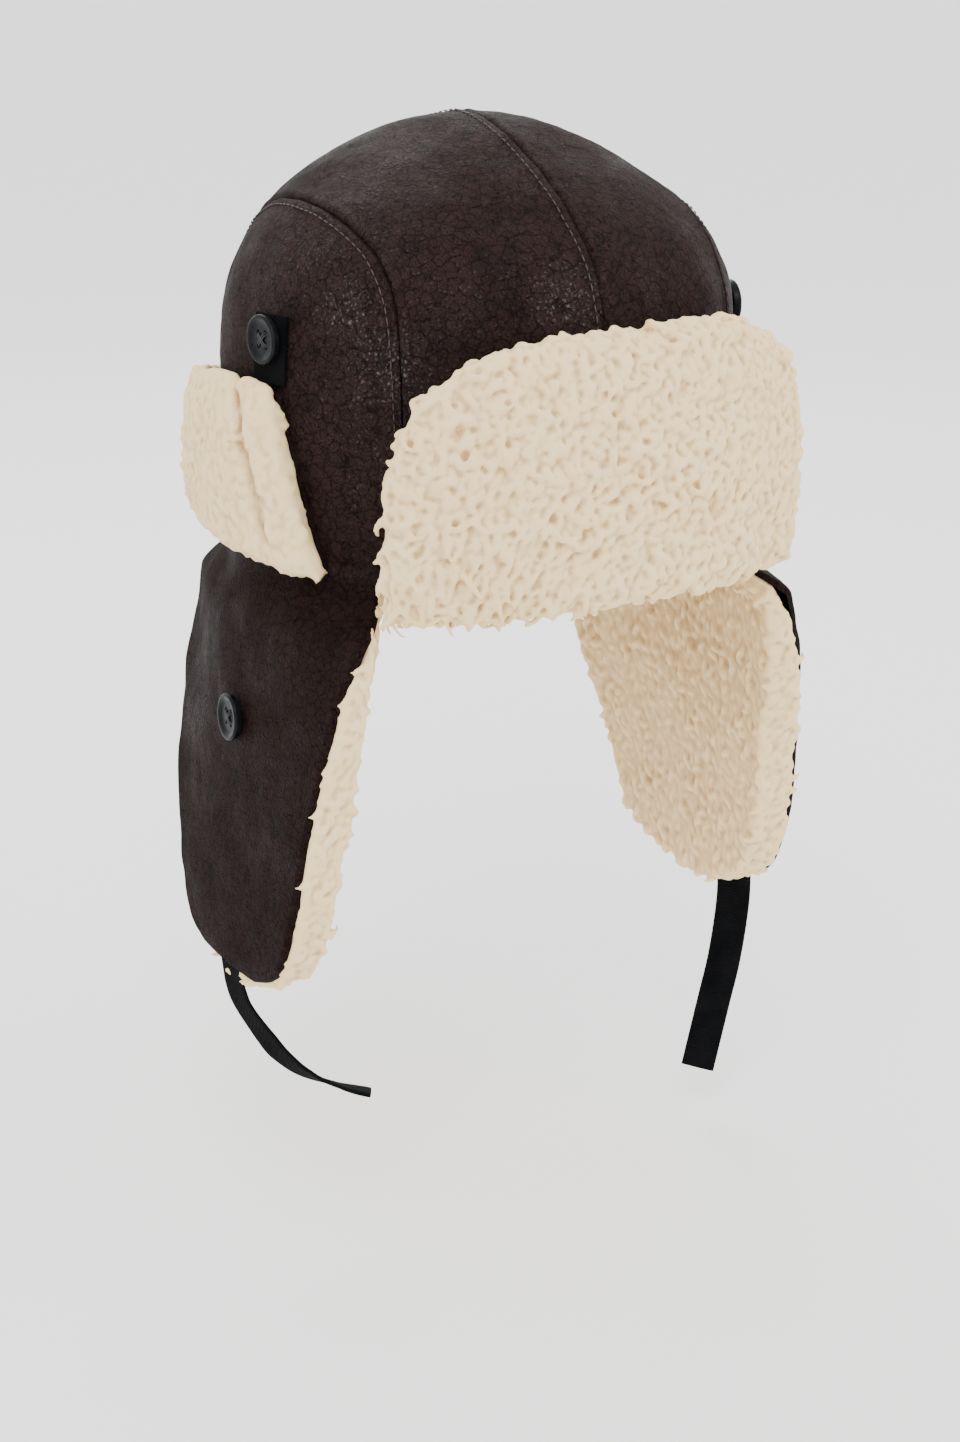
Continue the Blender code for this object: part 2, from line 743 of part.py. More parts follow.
def button_body(centre, outward, upward):
    """A button with a raised rim, a dished face and four thread holes."""
    radius = BUTTON_DIAMETER / 2.0
    dished = BUTTON_THICKNESS - BUTTON_DISH
    profile = (
        (0.80 * radius, 0.0),
        (0.96 * radius, 0.25 * BUTTON_THICKNESS),
        (radius, 0.60 * BUTTON_THICKNESS),
        (0.97 * radius, 0.90 * BUTTON_THICKNESS),
        (radius - 0.5 * BUTTON_RIM, BUTTON_THICKNESS),
        (radius - BUTTON_RIM, 0.86 * BUTTON_THICKNESS),
        (radius - 1.5 * BUTTON_RIM, dished),
    )
    body = bmesh.new()
    rings = [ring_of(body, (0.0, 0.0), r, h, BUTTON_SIDES, 0.5) for r, h in profile]
    back = []
    front = []
    for low, high in zip(rings, rings[1:]):
        low_edges, high_edges = join_rings(body, low, high)
        if low is rings[0]:
            back.extend(low_edges)
        if high is rings[-1]:
            front.extend(high_edges)
    half = BUTTON_HOLE_SPREAD / 2.0
    for sx, sy in ((-1, -1), (1, -1), (1, 1), (-1, 1)):
        middle = (sx * half, sy * half)
        low = ring_of(body, middle, BUTTON_HOLE / 2.0, 0.0, BUTTON_HOLE_SIDES, 0.5)
        high = ring_of(body, middle, BUTTON_HOLE / 2.0, dished, BUTTON_HOLE_SIDES, 0.5)
        low_edges, high_edges = join_rings(body, low, high)
        back.extend(low_edges)
        front.extend(high_edges)
    bmesh.ops.triangle_fill(body, edges=back, use_beauty=True)
    bmesh.ops.triangle_fill(body, edges=front, use_beauty=True)
    across = upward.cross(outward).normalized()
    upward = outward.cross(across).normalized()
    for vertex in body.verts:
        x, y, z = vertex.co
        vertex.co = centre + across * x + upward * y + outward * z
    return body


def crown_button(name, side):
    """Button on the side of the crown, on top of its tab."""
    turn = math.radians(CROWN_BUTTON_TURN)
    outward = Vector((side * math.sin(turn), -math.cos(turn), 0.0))
    seat = mirrored(wall_point(CROWN_BUTTON_TURN, 0.0, CROWN_BUTTON_HEIGHT), side)
    centre = seat + outward * (TAB_THICKNESS + TAB_TO_BUTTON)
    body = button_body(centre, outward, Vector((0.0, 0.0, 1.0)))
    finish_body(name, body, BUTTON_BLACK, 0.25, 30.0)


def ear_button(name, side):
    """Button on the outside of an ear flap."""
    drop = EAR_BUTTON_DROP / EAR_FLAP_DROP
    face = ear_offset(EAR_BUTTON_ALONG, drop, 0.0)
    outward = (ear_offset(EAR_BUTTON_ALONG, drop, LEATHER) - face).normalized()
    centre = mirrored(face + outward * EAR_TO_BUTTON, side)
    body = button_body(centre, mirrored(outward, side), Vector((0.0, 0.0, 1.0)))
    finish_body(name, body, BUTTON_BLACK, 0.25, 30.0)


def button_tab(side):
    """Black tab from the corner of the nape flap, held by the crown's button."""
    low = NAPE_FLAP_HEIGHT * BACKING_SHARE + 2.0 * CLEARANCE
    high = CROWN_BUTTON_HEIGHT + TAB_ABOVE_BUTTON
    half_turn = math.degrees(0.5 * TAB_WIDTH / CROWN_HALF_WIDTH)
    grids = []
    for outward in (CLEARANCE + TAB_THICKNESS, CLEARANCE):
        grid = []
        for i in range(4):
            height = low + (high - low) * i / 3.0
            row = []
            for j in range(5):
                turn = CROWN_BUTTON_TURN + half_turn * (-1.0 + 0.5 * j)
                row.append(mirrored(wall_point(turn, outward, height), side))
            grid.append(row)
        grids.append(grid)
    return sheet_body(*grids)


def build():
    for old in list(bpy.data.objects):
        bpy.data.objects.remove(old, do_unlink=True)
    finish_body("crown_lining", lining_body(), FLEECE_CREAM, 0.95)
    finish_body("front_flap_fleece", front_flap_fleece(), FLEECE_CREAM, 0.95)
    finish_body("front_flap_backing", front_flap_backing(), LEATHER_BROWN, 0.45)
    finish_body("nape_flap_fleece", nape_flap_fleece(), FLEECE_CREAM, 0.95)
    finish_body("nape_flap_backing", nape_flap_backing(), LEATHER_BROWN, 0.45)
    sides = (("right", -1, STRAP_ROUTE_RIGHT), ("left", 1, STRAP_ROUTE_LEFT))
    for word, side, route in sides:
        finish_body("crown_top_" + word, top_panel(side), LEATHER_BROWN, 0.45)
        finish_body("crown_side_" + word, side_panel(side), LEATHER_BROWN, 0.45)
        finish_body("ear_flap_leather_" + word, ear_leather(side), LEATHER_BROWN, 0.45)
        finish_body("ear_flap_fleece_" + word, ear_fleece(side), FLEECE_CREAM, 0.95)
        finish_body("chin_strap_" + word, strap_body(side, route), WEB_BLACK, 0.80)
        finish_body("button_tab_" + word, button_tab(side), WEB_BLACK, 0.80)
        crown_button("button_crown_" + word, side)
        ear_button("button_ear_" + word, side)


build()
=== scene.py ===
import math
import random

import bmesh
import bpy
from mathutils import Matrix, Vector, noise
from mathutils.bvhtree import BVHTree


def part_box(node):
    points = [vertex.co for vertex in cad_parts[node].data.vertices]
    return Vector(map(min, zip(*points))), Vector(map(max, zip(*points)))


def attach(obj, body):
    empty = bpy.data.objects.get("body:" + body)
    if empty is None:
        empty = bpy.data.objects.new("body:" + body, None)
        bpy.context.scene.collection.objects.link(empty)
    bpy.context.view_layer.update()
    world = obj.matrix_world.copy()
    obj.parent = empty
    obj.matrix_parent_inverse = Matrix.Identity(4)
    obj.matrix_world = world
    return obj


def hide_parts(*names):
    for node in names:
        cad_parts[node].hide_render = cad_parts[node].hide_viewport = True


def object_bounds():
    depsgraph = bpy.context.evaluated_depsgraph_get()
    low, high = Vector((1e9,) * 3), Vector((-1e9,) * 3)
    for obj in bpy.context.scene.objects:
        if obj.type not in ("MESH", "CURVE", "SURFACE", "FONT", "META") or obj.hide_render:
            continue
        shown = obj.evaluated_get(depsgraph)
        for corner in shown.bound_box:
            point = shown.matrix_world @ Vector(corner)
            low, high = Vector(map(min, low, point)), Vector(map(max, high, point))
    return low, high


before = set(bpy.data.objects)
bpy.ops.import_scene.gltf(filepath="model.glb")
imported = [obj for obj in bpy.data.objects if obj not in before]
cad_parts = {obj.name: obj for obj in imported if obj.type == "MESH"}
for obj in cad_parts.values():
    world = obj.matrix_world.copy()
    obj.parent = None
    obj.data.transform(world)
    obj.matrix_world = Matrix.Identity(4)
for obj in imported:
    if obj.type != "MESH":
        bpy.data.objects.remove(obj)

cad_box = [list(corner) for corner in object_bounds()]


# Crown leather. Four panels of thin brown sheepskin, two over the top and one arched
# over each ear, cut flat and sewn face to face, so every seam is a groove between two
# rounded lips. The outside is worn; grey painted highlights on its grain stand for the light it
# catches.
CROWN_HALF_WIDTH = 0.100
CROWN_FRONT_DEPTH = 0.097
CROWN_BACK_DEPTH = 0.106
CROWN_HEIGHT = 0.163
CROWN_LEAN = 0.011
CROWN_SLUMP = 0.0015
SIDES = (("right", -1), ("left", 1))
CROWN_SLUMP_START = 0.096
SEAM_DEPTH = 0.0014
SEAM_GROOVE = 0.0006
SEAM_LIP = 0.0004
SEAM_LIP_PLACE = 0.0024
SEAM_LIP_WIDTH = 0.0018
SEAM_GATHER = 0.00035
SEAM_GATHER_REACH = 0.007
SEAM_GATHER_LENGTH = 0.0065
HIDE_SLACK = 0.0011
HIDE_WAVE = 0.0005
HIDE_DRAG = 0.00035
SEAM_ROWS = (0.0, 0.003, 0.007, 0.012, 0.018, 0.025, 0.033, 0.043, 0.055, 0.070)
PANEL_ROWS = 44
SEAM_COLUMNS = 170
RIM_COLUMNS = 26

# radius share, height share, in even steps from the lower edge to the top
CROWN_PROFILE = (
    (1.000, 0.000), (1.004, 0.155), (1.004, 0.310), (1.002, 0.460),
    (0.980, 0.603), (0.910, 0.714), (0.789, 0.798), (0.622, 0.874),
    (0.426, 0.937), (0.215, 0.982), (0.000, 1.000),
)

# turn from the front in degrees, rise share
SIDE_SEAM = (
    (43.0, 0.00), (43.5, 0.20), (44.5, 0.38), (50.0, 0.50),
    (62.0, 0.58), (90.0, 0.63), (116.0, 0.59), (130.0, 0.50),
    (136.5, 0.38), (138.0, 0.20), (139.0, 0.00),
)

# Handling has pressed dents and left creases in the crown: turn, rise share, length
# as a turn, width as a rise share, depth in metres, the same way on both sides.
CROWN_DENTS = (
    (128.0, 0.50, 24.0, 0.12, 0.0018),
    (20.0, 0.62, 26.0, 0.12, 0.0011),
    (84.0, 0.46, 22.0, 0.14, 0.0011),
    (58.0, 0.30, 9.0, 0.05, 0.0007),
    (66.0, 0.22, 12.0, 0.03, 0.0006),
    (52.0, 0.10, 12.0, 0.03, -0.0006),
    (12.0, 0.44, 10.0, 0.04, 0.0006),
)


def bridged(start, end, slope_in, slope_out, part):
    """Smooth way from one value to the next, with the slope at each."""
    bend = 2.0 * start - 2.0 * end + slope_in + slope_out
    lean = 3.0 * end - 3.0 * start - 2.0 * slope_in - slope_out
    return ((bend * part + lean) * part + slope_in) * part + start


def curve_at(rows, share):
    """Read a table as one smooth curve, in even steps from 0 to 1."""
    steps = len(rows) - 1
    place = share * steps
    index = min(max(int(math.floor(place)), 0), steps - 1)
    part = place - index
    before = rows[max(index - 1, 0)]
    start = rows[index]
    end = rows[index + 1]
    after = rows[min(index + 2, steps)]
    if part < 0.0 or part > 1.0:
        return [a + (b - a) * part for a, b in zip(start, end)]
    values = []
    for p0, p1, p2, p3 in zip(before, start, end, after):
        values.append(bridged(p1, p2, (p2 - p0) / 2.0, (p3 - p1) / 2.0, part))
    return values


def crown_at(forward, sideways):
    """The right half of the crown over a flat disc, whose rim is the lower edge."""
    turn = math.atan2(sideways, forward)
    radius, height = curve_at(CROWN_PROFILE, 1.0 - math.hypot(forward, sideways))
    depth = CROWN_FRONT_DEPTH if math.cos(turn) >= 0.0 else CROWN_BACK_DEPTH
    return Vector((
        -CROWN_HALF_WIDTH * radius * math.sin(turn),
        CROWN_LEAN * (1.0 - radius) - depth * radius * math.cos(turn),
        CROWN_HEIGHT * height,
    ))


def normal_of(face, u, v, step=0.004):
    """Outward direction of a face that is given as a function of u and v."""
    along_u = face(u + step, v) - face(u - step, v)
    along_v = face(u, v + step) - face(u, v - step)
    normal = along_u.cross(along_v)
    if normal.length < 1e-12:
        return Vector((0.0, 0.0, 1.0))
    return normal.normalized()


def on_side(point, side):
    """A point of the right half, or its mirror image where the side is 1."""
    return Vector((-side * point.x, point.y, point.z))


def disc_place(turn, rise):
    """Place on the crown's flat disc for a turn in degrees and a rise share."""
    angle = math.radians(turn)
    return ((1.0 - rise) * math.cos(angle), (1.0 - rise) * math.sin(angle))


def seam_place(share):
    """Place on the disc along the seam over an ear."""
    return curve_at([disc_place(turn, rise) for turn, rise in SIDE_SEAM], share)


def uneven(point, size, shift=0.0):
    """Smooth random relief from -1 to 1, about a size across."""
    return noise.noise(Vector((point.x + shift, point.y - shift, point.z)) / size)


def hide_relief(point):
    """Soft hollows, slack and fine drag lines of a worn hide, in metres."""
    slack = HIDE_SLACK * uneven(point, 0.034) + HIDE_WAVE * uneven(point, 0.015, 0.3)
    drag = abs(uneven(point, 0.011, 0.7)) + 0.5 * abs(uneven(point, 0.006, 0.9))
    return slack - HIDE_DRAG * (1.0 - drag)


def dent_relief(forward, sideways):
    """Depth of the dents at a place of the crown, in metres."""
    turn = math.degrees(math.atan2(sideways, forward))
    rise = 1.0 - math.hypot(forward, sideways)
    sunk = 0.0
    for dent_turn, dent_rise, long, wide, depth in CROWN_DENTS:
        far = ((turn - dent_turn) / long) ** 2 + ((rise - dent_rise) / wide) ** 2
        sunk += depth * math.exp(-far)
    return -sunk


def seam_relief(far, along):
    """Groove and lip of a seam, gathered unevenly by its thread."""
    groove = -SEAM_DEPTH * math.exp(-far / SEAM_GROOVE)
    lip = SEAM_LIP * math.exp(-((far - SEAM_LIP_PLACE) / SEAM_LIP_WIDTH) ** 2)
    pull = noise.noise(Vector((along / SEAM_GATHER_LENGTH, far / 0.012, 0.5)))
    return groove + lip + SEAM_GATHER * math.exp(-far / SEAM_GATHER_REACH) * pull


def on_crown(place, side, lift):
    """Point at a height over the worn crown, whose top has slumped to one side."""
    point = crown_at(*place)
    lift += hide_relief(on_side(point, side)) + dent_relief(*place)
    point = point + normal_of(lambda v, u: crown_at(u, v), place[1], place[0]) * lift
    high = max(point.z - CROWN_SLUMP_START, 0.0) / (CROWN_HEIGHT - CROWN_SLUMP_START)
    return Vector((-side * point.x - CROWN_SLUMP * high, point.y, point.z))


def placed(name, data):
    """A new object in the scene."""
    piece = bpy.data.objects.new(name, data)
    bpy.context.collection.objects.link(piece)
    return piece


def raw_mesh(name, points, faces):
    """Smooth mesh of points and faces."""
    mesh = bpy.data.meshes.new(name)
    mesh.from_pydata([tuple(point) for point in points], [], faces)
    mesh.shade_smooth()
    return mesh


def sheet_mesh(name, grid, closed=False):
    """Mesh over a grid of points."""
    columns = len(grid[0])
    points = [point for row in grid for point in row]
    faces = []
    for i in range(len(grid) - 1):
        for j in range(columns if closed else columns - 1):
            k = (j + 1) % columns
            a, b = i * columns, (i + 1) * columns
            faces.append((a + j, a + k, b + k, b + j))
    mesh = raw_mesh(name, points, faces)
    body = bmesh.new()
    body.from_mesh(mesh)
    bmesh.ops.remove_doubles(body, verts=body.verts, dist=0.000004)
    bmesh.ops.recalc_face_normals(body, faces=body.faces)
    body.to_mesh(mesh)
    body.free()
    mesh.shade_smooth()
    return mesh


def add_piece(name, mesh, finish, slot, *nodes):
    """Put a piece in the scene with its finish, on the cap, for its plain solids."""
    piece = placed(name, mesh)
    mesh.materials.clear()
    mesh.materials.append(finish)
    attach(piece, "root")
    if nodes:
        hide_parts(*nodes)
    return piece


def row_distances(column_points):
    """Distance along a column of points from its start, and to its end."""
    gone = [0.0]
    for a, b in zip(column_points, column_points[1:]):
        gone.append(gone[-1] + (b - a).length)
    return gone, [gone[-1] - far for far in gone]


def hide_panel(places, side, start_sewn, end_sewn):
    """Panel over a grid of disc places, given column by column. Each end of a column
    can be sewn. The result is a grid of points."""
    grid = []
    along = 0.0
    last = None
    for j, column in enumerate(places):
        base = [crown_at(*place) for place in column]
        if last is not None:
            along += (base[-1] - last).length
        last = base[-1]
        from_start, to_end = row_distances(base)
        line = []
        for place, far_start, far_end in zip(column, from_start, to_end):
            lift = 0.0
            if start_sewn(j):
                lift += seam_relief(far_start, along)
            if end_sewn(j):
                lift += seam_relief(far_end, along + 1.0)
            line.append(on_crown(place, side, lift))
        grid.append(line)
    return grid


def top_places():
    """Disc places of a top panel: centre seam to side seam, forehead to nape."""
    first = SEAM_ROWS[-1]
    middle = [first + (1.0 - 2.0 * first) * i / PANEL_ROWS for i in range(1, PANEL_ROWS)]
    shares = list(SEAM_ROWS) + middle + [1.0 - share for share in reversed(SEAM_ROWS)]
    places = []
    for j in range(SEAM_COLUMNS + 2 * RIM_COLUMNS + 1):
        seam_column = j - RIM_COLUMNS
        if seam_column < 0:
            edge = disc_place(SIDE_SEAM[0][0] * j / RIM_COLUMNS, 0.0)
        elif seam_column <= SEAM_COLUMNS:
            edge = seam_place(seam_column / SEAM_COLUMNS)
        else:
            part = (seam_column - SEAM_COLUMNS) / RIM_COLUMNS
            edge = disc_place(SIDE_SEAM[-1][0] + (180.0 - SIDE_SEAM[-1][0]) * part, 0.0)
        places.append([(edge[0], edge[1] * share) for share in shares])
    return places


def side_places():
    """Disc places of a side panel: lower edge to seam, front to back."""
    last = 1.0 - SEAM_ROWS[-1]
    shares = [last * i / PANEL_ROWS for i in range(PANEL_ROWS)]
    shares += [1.0 - share for share in reversed(SEAM_ROWS)]
    places = []
    for j in range(SEAM_COLUMNS + 1):
        along = j / SEAM_COLUMNS
        eased = along - 0.14 * math.sin(2.0 * math.pi * along)
        turn = SIDE_SEAM[0][0] + (SIDE_SEAM[-1][0] - SIDE_SEAM[0][0]) * eased
        foot = disc_place(turn, 0.0)
        head = seam_place(along)
        places.append([[a + (b - a) * up for a, b in zip(foot, head)] for up in shares])
    return places


def fill(node, **values):
    """Set inputs of a node by name."""
    for key, value in values.items():
        node.inputs[key.replace("_", " ")].default_value = value


def new_finish(name):
    """A finish to fill in: its shader, and shortcuts that add and join its nodes. Its
    textures follow the place on the cap."""
    material = bpy.data.materials.new(name)
    material.use_nodes = True
    tree = material.node_tree

    def add(kind, **values):
        node = tree.nodes.new(kind)
        for key, value in values.items():
            if hasattr(node, key):
                setattr(node, key, value)
            else:
                fill(node, **{key: value})
        if kind.startswith("ShaderNodeTex") and kind != "ShaderNodeTexCoord":
            join(where, node.inputs["Vector"])
        return node

    def join(source, target):
        tree.links.new(source, target)

    where = add("ShaderNodeTexCoord").outputs["Object"]
    return material, tree.nodes["Principled BSDF"], add, join


def ramp(add, join, source, stops):
    """Colour ramp over a value: stops of place and colour."""
    node = add("ShaderNodeValToRGB")
    elements = node.color_ramp.elements
    while len(elements) < len(stops):
        elements.new(0.5)
    for element, (place, colour) in zip(elements, stops):
        element.position = place
        element.color = (*colour, 1.0)
    join(source, node.inputs["Fac"])
    return node.outputs["Color"]


def add_bumps(add, join, shader, *layers):
    """Fine relief in layers, each a height, a strength and a depth."""
    normal = None
    for height, strength, depth in layers:
        bump = add("ShaderNodeBump", Strength=strength, Distance=depth)
        join(height, bump.inputs["Height"])
        if normal is not None:
            join(normal, bump.inputs["Normal"])
        normal = bump.outputs["Normal"]
    join(normal, shader.inputs["Normal"])


def combined(add, join, operation, first, second):
    """Value made of two by an operation."""
    node = add("ShaderNodeMath", operation=operation)
    join(first, node.inputs[0])
    join(second, node.inputs[1])
    return node.outputs[0]


def mixed_colour(add, join, blend, share, low, high):
    """Colour made of two, joined by a way of blending."""
    mix = add("ShaderNodeMix", data_type="RGBA", blend_type=blend)
    for value, socket in ((share, mix.inputs["Factor"]), (low, mix.inputs[6]), (high, mix.inputs[7])):
        if isinstance(value, bpy.types.NodeSocket):
            join(value, socket)
        else:
            socket.default_value = value
    return mix.outputs[2]


def worn_leather(name, dark, brown, scuff_and_highlight, gloss, highlight_spots=()):
    """Thin worn leather: pebbled grain, pores and drag lines, with grey patches that are partly
    wear and partly painted highlight, and painted highlights round the places given as a point and a
    radius."""
    material, shader, add, join = new_finish(name)
    cloud = add("ShaderNodeTexNoise", Scale=55.0, Detail=8.0, Roughness=0.68)
    fine = add("ShaderNodeTexNoise", Scale=620.0, Detail=4.0, Roughness=0.7)
    rubbed = add("ShaderNodeTexNoise", Scale=21.0, Detail=4.0, Roughness=0.6)
    pebble = add("ShaderNodeTexVoronoi", Scale=560.0, feature="DISTANCE_TO_EDGE")
    crackle = add("ShaderNodeTexVoronoi", Scale=230.0, feature="DISTANCE_TO_EDGE")
    where = add("ShaderNodeTexCoord").outputs["Object"]
    warp = add("ShaderNodeVectorMath", operation="MULTIPLY_ADD")
    warp.inputs[1].default_value = (0.0028, 0.0028, 0.0028)
    join(fine.outputs["Color"], warp.inputs[0])
    join(where, warp.inputs[2])
    join(warp.outputs["Vector"], pebble.inputs["Vector"])
    join(warp.outputs["Vector"], crackle.inputs["Vector"])
    base = ramp(add, join, cloud.outputs["Fac"], ((0.36, dark), (0.52, brown), (0.70, dark)))
    # Grey patches on the pebble tops: partly wear, partly painted highlight.
    worn = ramp(add, join, rubbed.outputs["Fac"], (
        (0.46, (0.04, 0.04, 0.04)), (0.60, (0.22, 0.22, 0.22)), (0.72, (0.6, 0.6, 0.6))))
    specks = ramp(add, join, fine.outputs["Fac"], ((0.40, (0, 0, 0)), (0.60, (1, 1, 1))))
    tops = ramp(add, join, pebble.outputs["Distance"], ((0.06, (0, 0, 0)), (0.30, (1, 1, 1))))
    creases = ramp(add, join, crackle.outputs["Distance"], (
        (0.0, (0.45, 0.45, 0.45)), (0.08, (1, 1, 1))))
    # Painted highlights round each given point.
    for point, radius in highlight_spots:
        away = add("ShaderNodeVectorMath", operation="DISTANCE")
        join(where, away.inputs[0])
        away.inputs[1].default_value = point
        near = add("ShaderNodeMapRange", interpolation_type="SMOOTHSTEP",
                   From_Max=radius, To_Min=1.0, To_Max=0.0)
        join(away.outputs["Value"], near.inputs["Value"])
        worn = combined(add, join, "MAXIMUM", worn, near.outputs["Result"])
    wear_and_highlight_mask = combined(add, join, "MULTIPLY", worn, combined(add, join, "MULTIPLY", specks, tops))
    colour = mixed_colour(add, join, "MIX", wear_and_highlight_mask, base, (*scuff_and_highlight, 1.0))
    lined = mixed_colour(add, join, "MULTIPLY", 1.0, colour, creases)
    join(lined, shader.inputs["Base Color"])
    rough = add("ShaderNodeMapRange", From_Min=0.42, From_Max=0.66,
                To_Min=gloss + 0.14, To_Max=gloss - 0.08)
    join(rubbed.outputs["Fac"], rough.inputs["Value"])
    join(rough.outputs["Result"], shader.inputs["Roughness"])
    add_bumps(add, join, shader, (tops, 0.75, 0.0012), (creases, 0.55, 0.0012),
              (fine.outputs["Fac"], 0.6, 0.0008))
    fill(shader, Specular_IOR_Level=0.025)
    return material


# The grey colour is partly wear and partly painted highlight; the three points are painted
# highlights.
crown_hide = worn_leather(
    "crown_hide", (0.0140, 0.0086, 0.0082), (0.0240, 0.0128, 0.0116), (0.100, 0.088, 0.090), 0.46,
    (
        ((-0.073, -0.066, 0.080), 0.026),
        ((-0.081, -0.051, 0.101), 0.020),
        ((-0.013, -0.091, 0.104), 0.022),
    ),
)


def seam_only(j):
    """Whether a top panel's column ends at the seam over the ear."""
    return RIM_COLUMNS <= j <= RIM_COLUMNS + SEAM_COLUMNS


for word, side in SIDES:
    name = "crown_top_hide_" + word
    points = hide_panel(top_places(), side, lambda j: True, seam_only)
    add_piece(name, sheet_mesh(name, points), crown_hide, "crown_leather", "crown_top_" + word)
    name = "crown_side_hide_" + word
    points = hide_panel(side_places(), side, lambda j: False, lambda j: True)
    add_piece(name, sheet_mesh(name, points), crown_hide, "crown_leather", "crown_side_" + word)


# Top-stitching. Each seam's allowance is turned to one side under the leather and held
# by a single row of brown thread beside the seam: stitches about 3 mm long that sink a
# little into the hide.
STITCH = 0.0030
STITCH_GAP = 0.0008
STITCH_RADIUS = 0.00028
STITCH_BESIDE = 0.0032
STITCH_LIFT = 0.0003 + 0.4 * SEAM_LIP
STITCH_SAMPLES = 1400


def thread_finish(name, colour):
    """Twisted thread."""
    material, shader, add, join = new_finish(name)
    strands = add("ShaderNodeTexNoise", Scale=2600.0, Detail=2.0)
    tint = ramp(add, join, strands.outputs["Fac"], (
        (0.35, [0.6 * c for c in colour]),
        (0.65, [1.4 * c for c in colour]),
    ))
    join(tint, shader.inputs["Base Color"])
    add_bumps(add, join, shader, (strands.outputs["Fac"], 0.4, 0.0002))
    fill(shader, Roughness=0.6)
    return material


def tube_ring(centre, along, radius, sides):
    """Ring of points round a line."""
    across = along.cross(Vector((0.31, 0.17, 0.93))).normalized()
    other = along.cross(across).normalized()
    ring = []
    for k in range(sides):
        angle = 2.0 * math.pi * k / sides
        ring.append(centre + (across * math.cos(angle) + other * math.sin(angle)) * radius)
    return ring


def add_tube(points, faces, path, radii, sides=6):
    """Add a closed tube along a path to lists of points and faces."""
    start = len(points)
    for i, centre in enumerate(path):
        ahead = path[min(i + 1, len(path) - 1)] - path[max(i - 1, 0)]
        points.extend(tube_ring(centre, ahead.normalized(), radii[i], sides))
    for i in range(len(path) - 1):
        for k in range(sides):
            a = start + i * sides + k
            b = start + i * sides + (k + 1) % sides
            faces.append((a, b, b + sides, a + sides))
    faces.append(tuple(start + k for k in range(sides)))
    faces.append(tuple(start + (len(path) - 1) * sides + k for k in reversed(range(sides))))


def stitch_row(points, faces, line):
    """Stitches along a dense line of points."""
    gone = 0.0
    current = []
    for a, b in zip(line, line[1:]):
        gone += (b - a).length
        cycle = gone % (STITCH + STITCH_GAP)
        if cycle < STITCH:
            current.append(b)
        elif current:
            add_stitch(points, faces, current)
            current = []


def add_stitch(points, faces, path):
    """One stitch, thinner where it enters the hide."""
    if len(path) < 3:
        return
    radii = []
    for i in range(len(path)):
        swell = math.sin(math.pi * (i + 0.6) / (len(path) + 0.2))
        radii.append(STITCH_RADIUS * (0.35 + 0.65 * swell))
    add_tube(points, faces, path, radii)


stitch_points = []
stitch_faces = []
for side in (-1, 1):
    side_line = []
    centre_line = []
    for i in range(STITCH_SAMPLES):
        share = 0.004 + 0.992 * i / (STITCH_SAMPLES - 1)
        forward, sideways = seam_place(share)
        after = seam_place(share + 0.002)
        run = Vector((after[0] - forward, after[1] - sideways)).normalized()
        beside = STITCH_BESIDE / 0.150
        place = (forward + run.y * beside, sideways - run.x * beside)
        side_line.append(on_crown(place, side, STITCH_LIFT))
        if side < 0:
            forward = 0.998 - 1.996 * i / (STITCH_SAMPLES - 1)
            place = (forward, STITCH_BESIDE / CROWN_HALF_WIDTH * 0.68)
            centre_line.append(on_crown(place, side, STITCH_LIFT))
    stitch_row(stitch_points, stitch_faces, side_line)
    if centre_line:
        stitch_row(stitch_points, stitch_faces, centre_line)
brown_thread = thread_finish("brown_thread", (0.030, 0.018, 0.015))
add_piece("crown_stitching", raw_mesh("crown_stitching", stitch_points, stitch_faces),
          brown_thread, "crown_leather")


# Fleece. Cream pile with a curly face lines the crown, backs the ear flaps and faces
# the turned-up flaps. Its fibres clump into curls 3 to 5 mm across that lean over one
# another; the cuts down to the backing between them are warmer, and darker with painted shade.
PILE_CURL = 0.0040
PILE_STRAND = 0.0018
CURL_LENGTH = 0.0046
CURL_RADIUS = 0.00110
CURL_RISE = 0.0015
LOCK_TAPER = (0.5, 0.9, 1.0, 1.0, 0.90, 0.72, 0.45)
# Painted shade in the hollows between locks: the level of a flat point, and the depth that darkens
# fully.
CREASE_LEVEL = 0.53
CREASE_DEPTH = 0.00070

# the fleece grows alike in every run
noise.seed_set(1)


def curly_pile(name, light, deep):
    """Cream curly pile, warmer at the roots and darker between its curls with painted shade."""
    material, shader, add, join = new_finish(name)
    height = add("ShaderNodeAttribute", attribute_name="pile")
    cloud = add("ShaderNodeTexNoise", Scale=60.0, Detail=5.0, Roughness=0.6)
    fibre = add("ShaderNodeTexNoise", Scale=950.0, Detail=3.0, Roughness=0.7, Distortion=1.6)
    mixed = add("ShaderNodeMath", operation="MULTIPLY_ADD")
    join(fibre.outputs["Fac"], mixed.inputs[0])
    mixed.inputs[1].default_value = 0.30
    join(height.outputs["Fac"], mixed.inputs[2])
    tint = ramp(add, join, mixed.outputs[0], (
        (0.22, deep),
        (0.50, [0.40 * a + 0.60 * b for a, b in zip(deep, light)]),
        (0.86, light),
    ))
    warm = ramp(add, join, cloud.outputs["Fac"], (
        (0.35, (1.0, 0.97, 0.90)),
        (0.65, (1.0, 1.0, 1.0)),
    ))
    join(mixed_colour(add, join, "MULTIPLY", 1.0, tint, warm), shader.inputs["Base Color"])
    add_bumps(add, join, shader, (fibre.outputs["Fac"], 0.55, 0.0007))
    fill(shader, Roughness=0.92, Specular_IOR_Level=0.05, Subsurface_Weight=0.12,
         Subsurface_Radius=(0.0030, 0.0020, 0.0012), Subsurface_Scale=1.0)
    return material


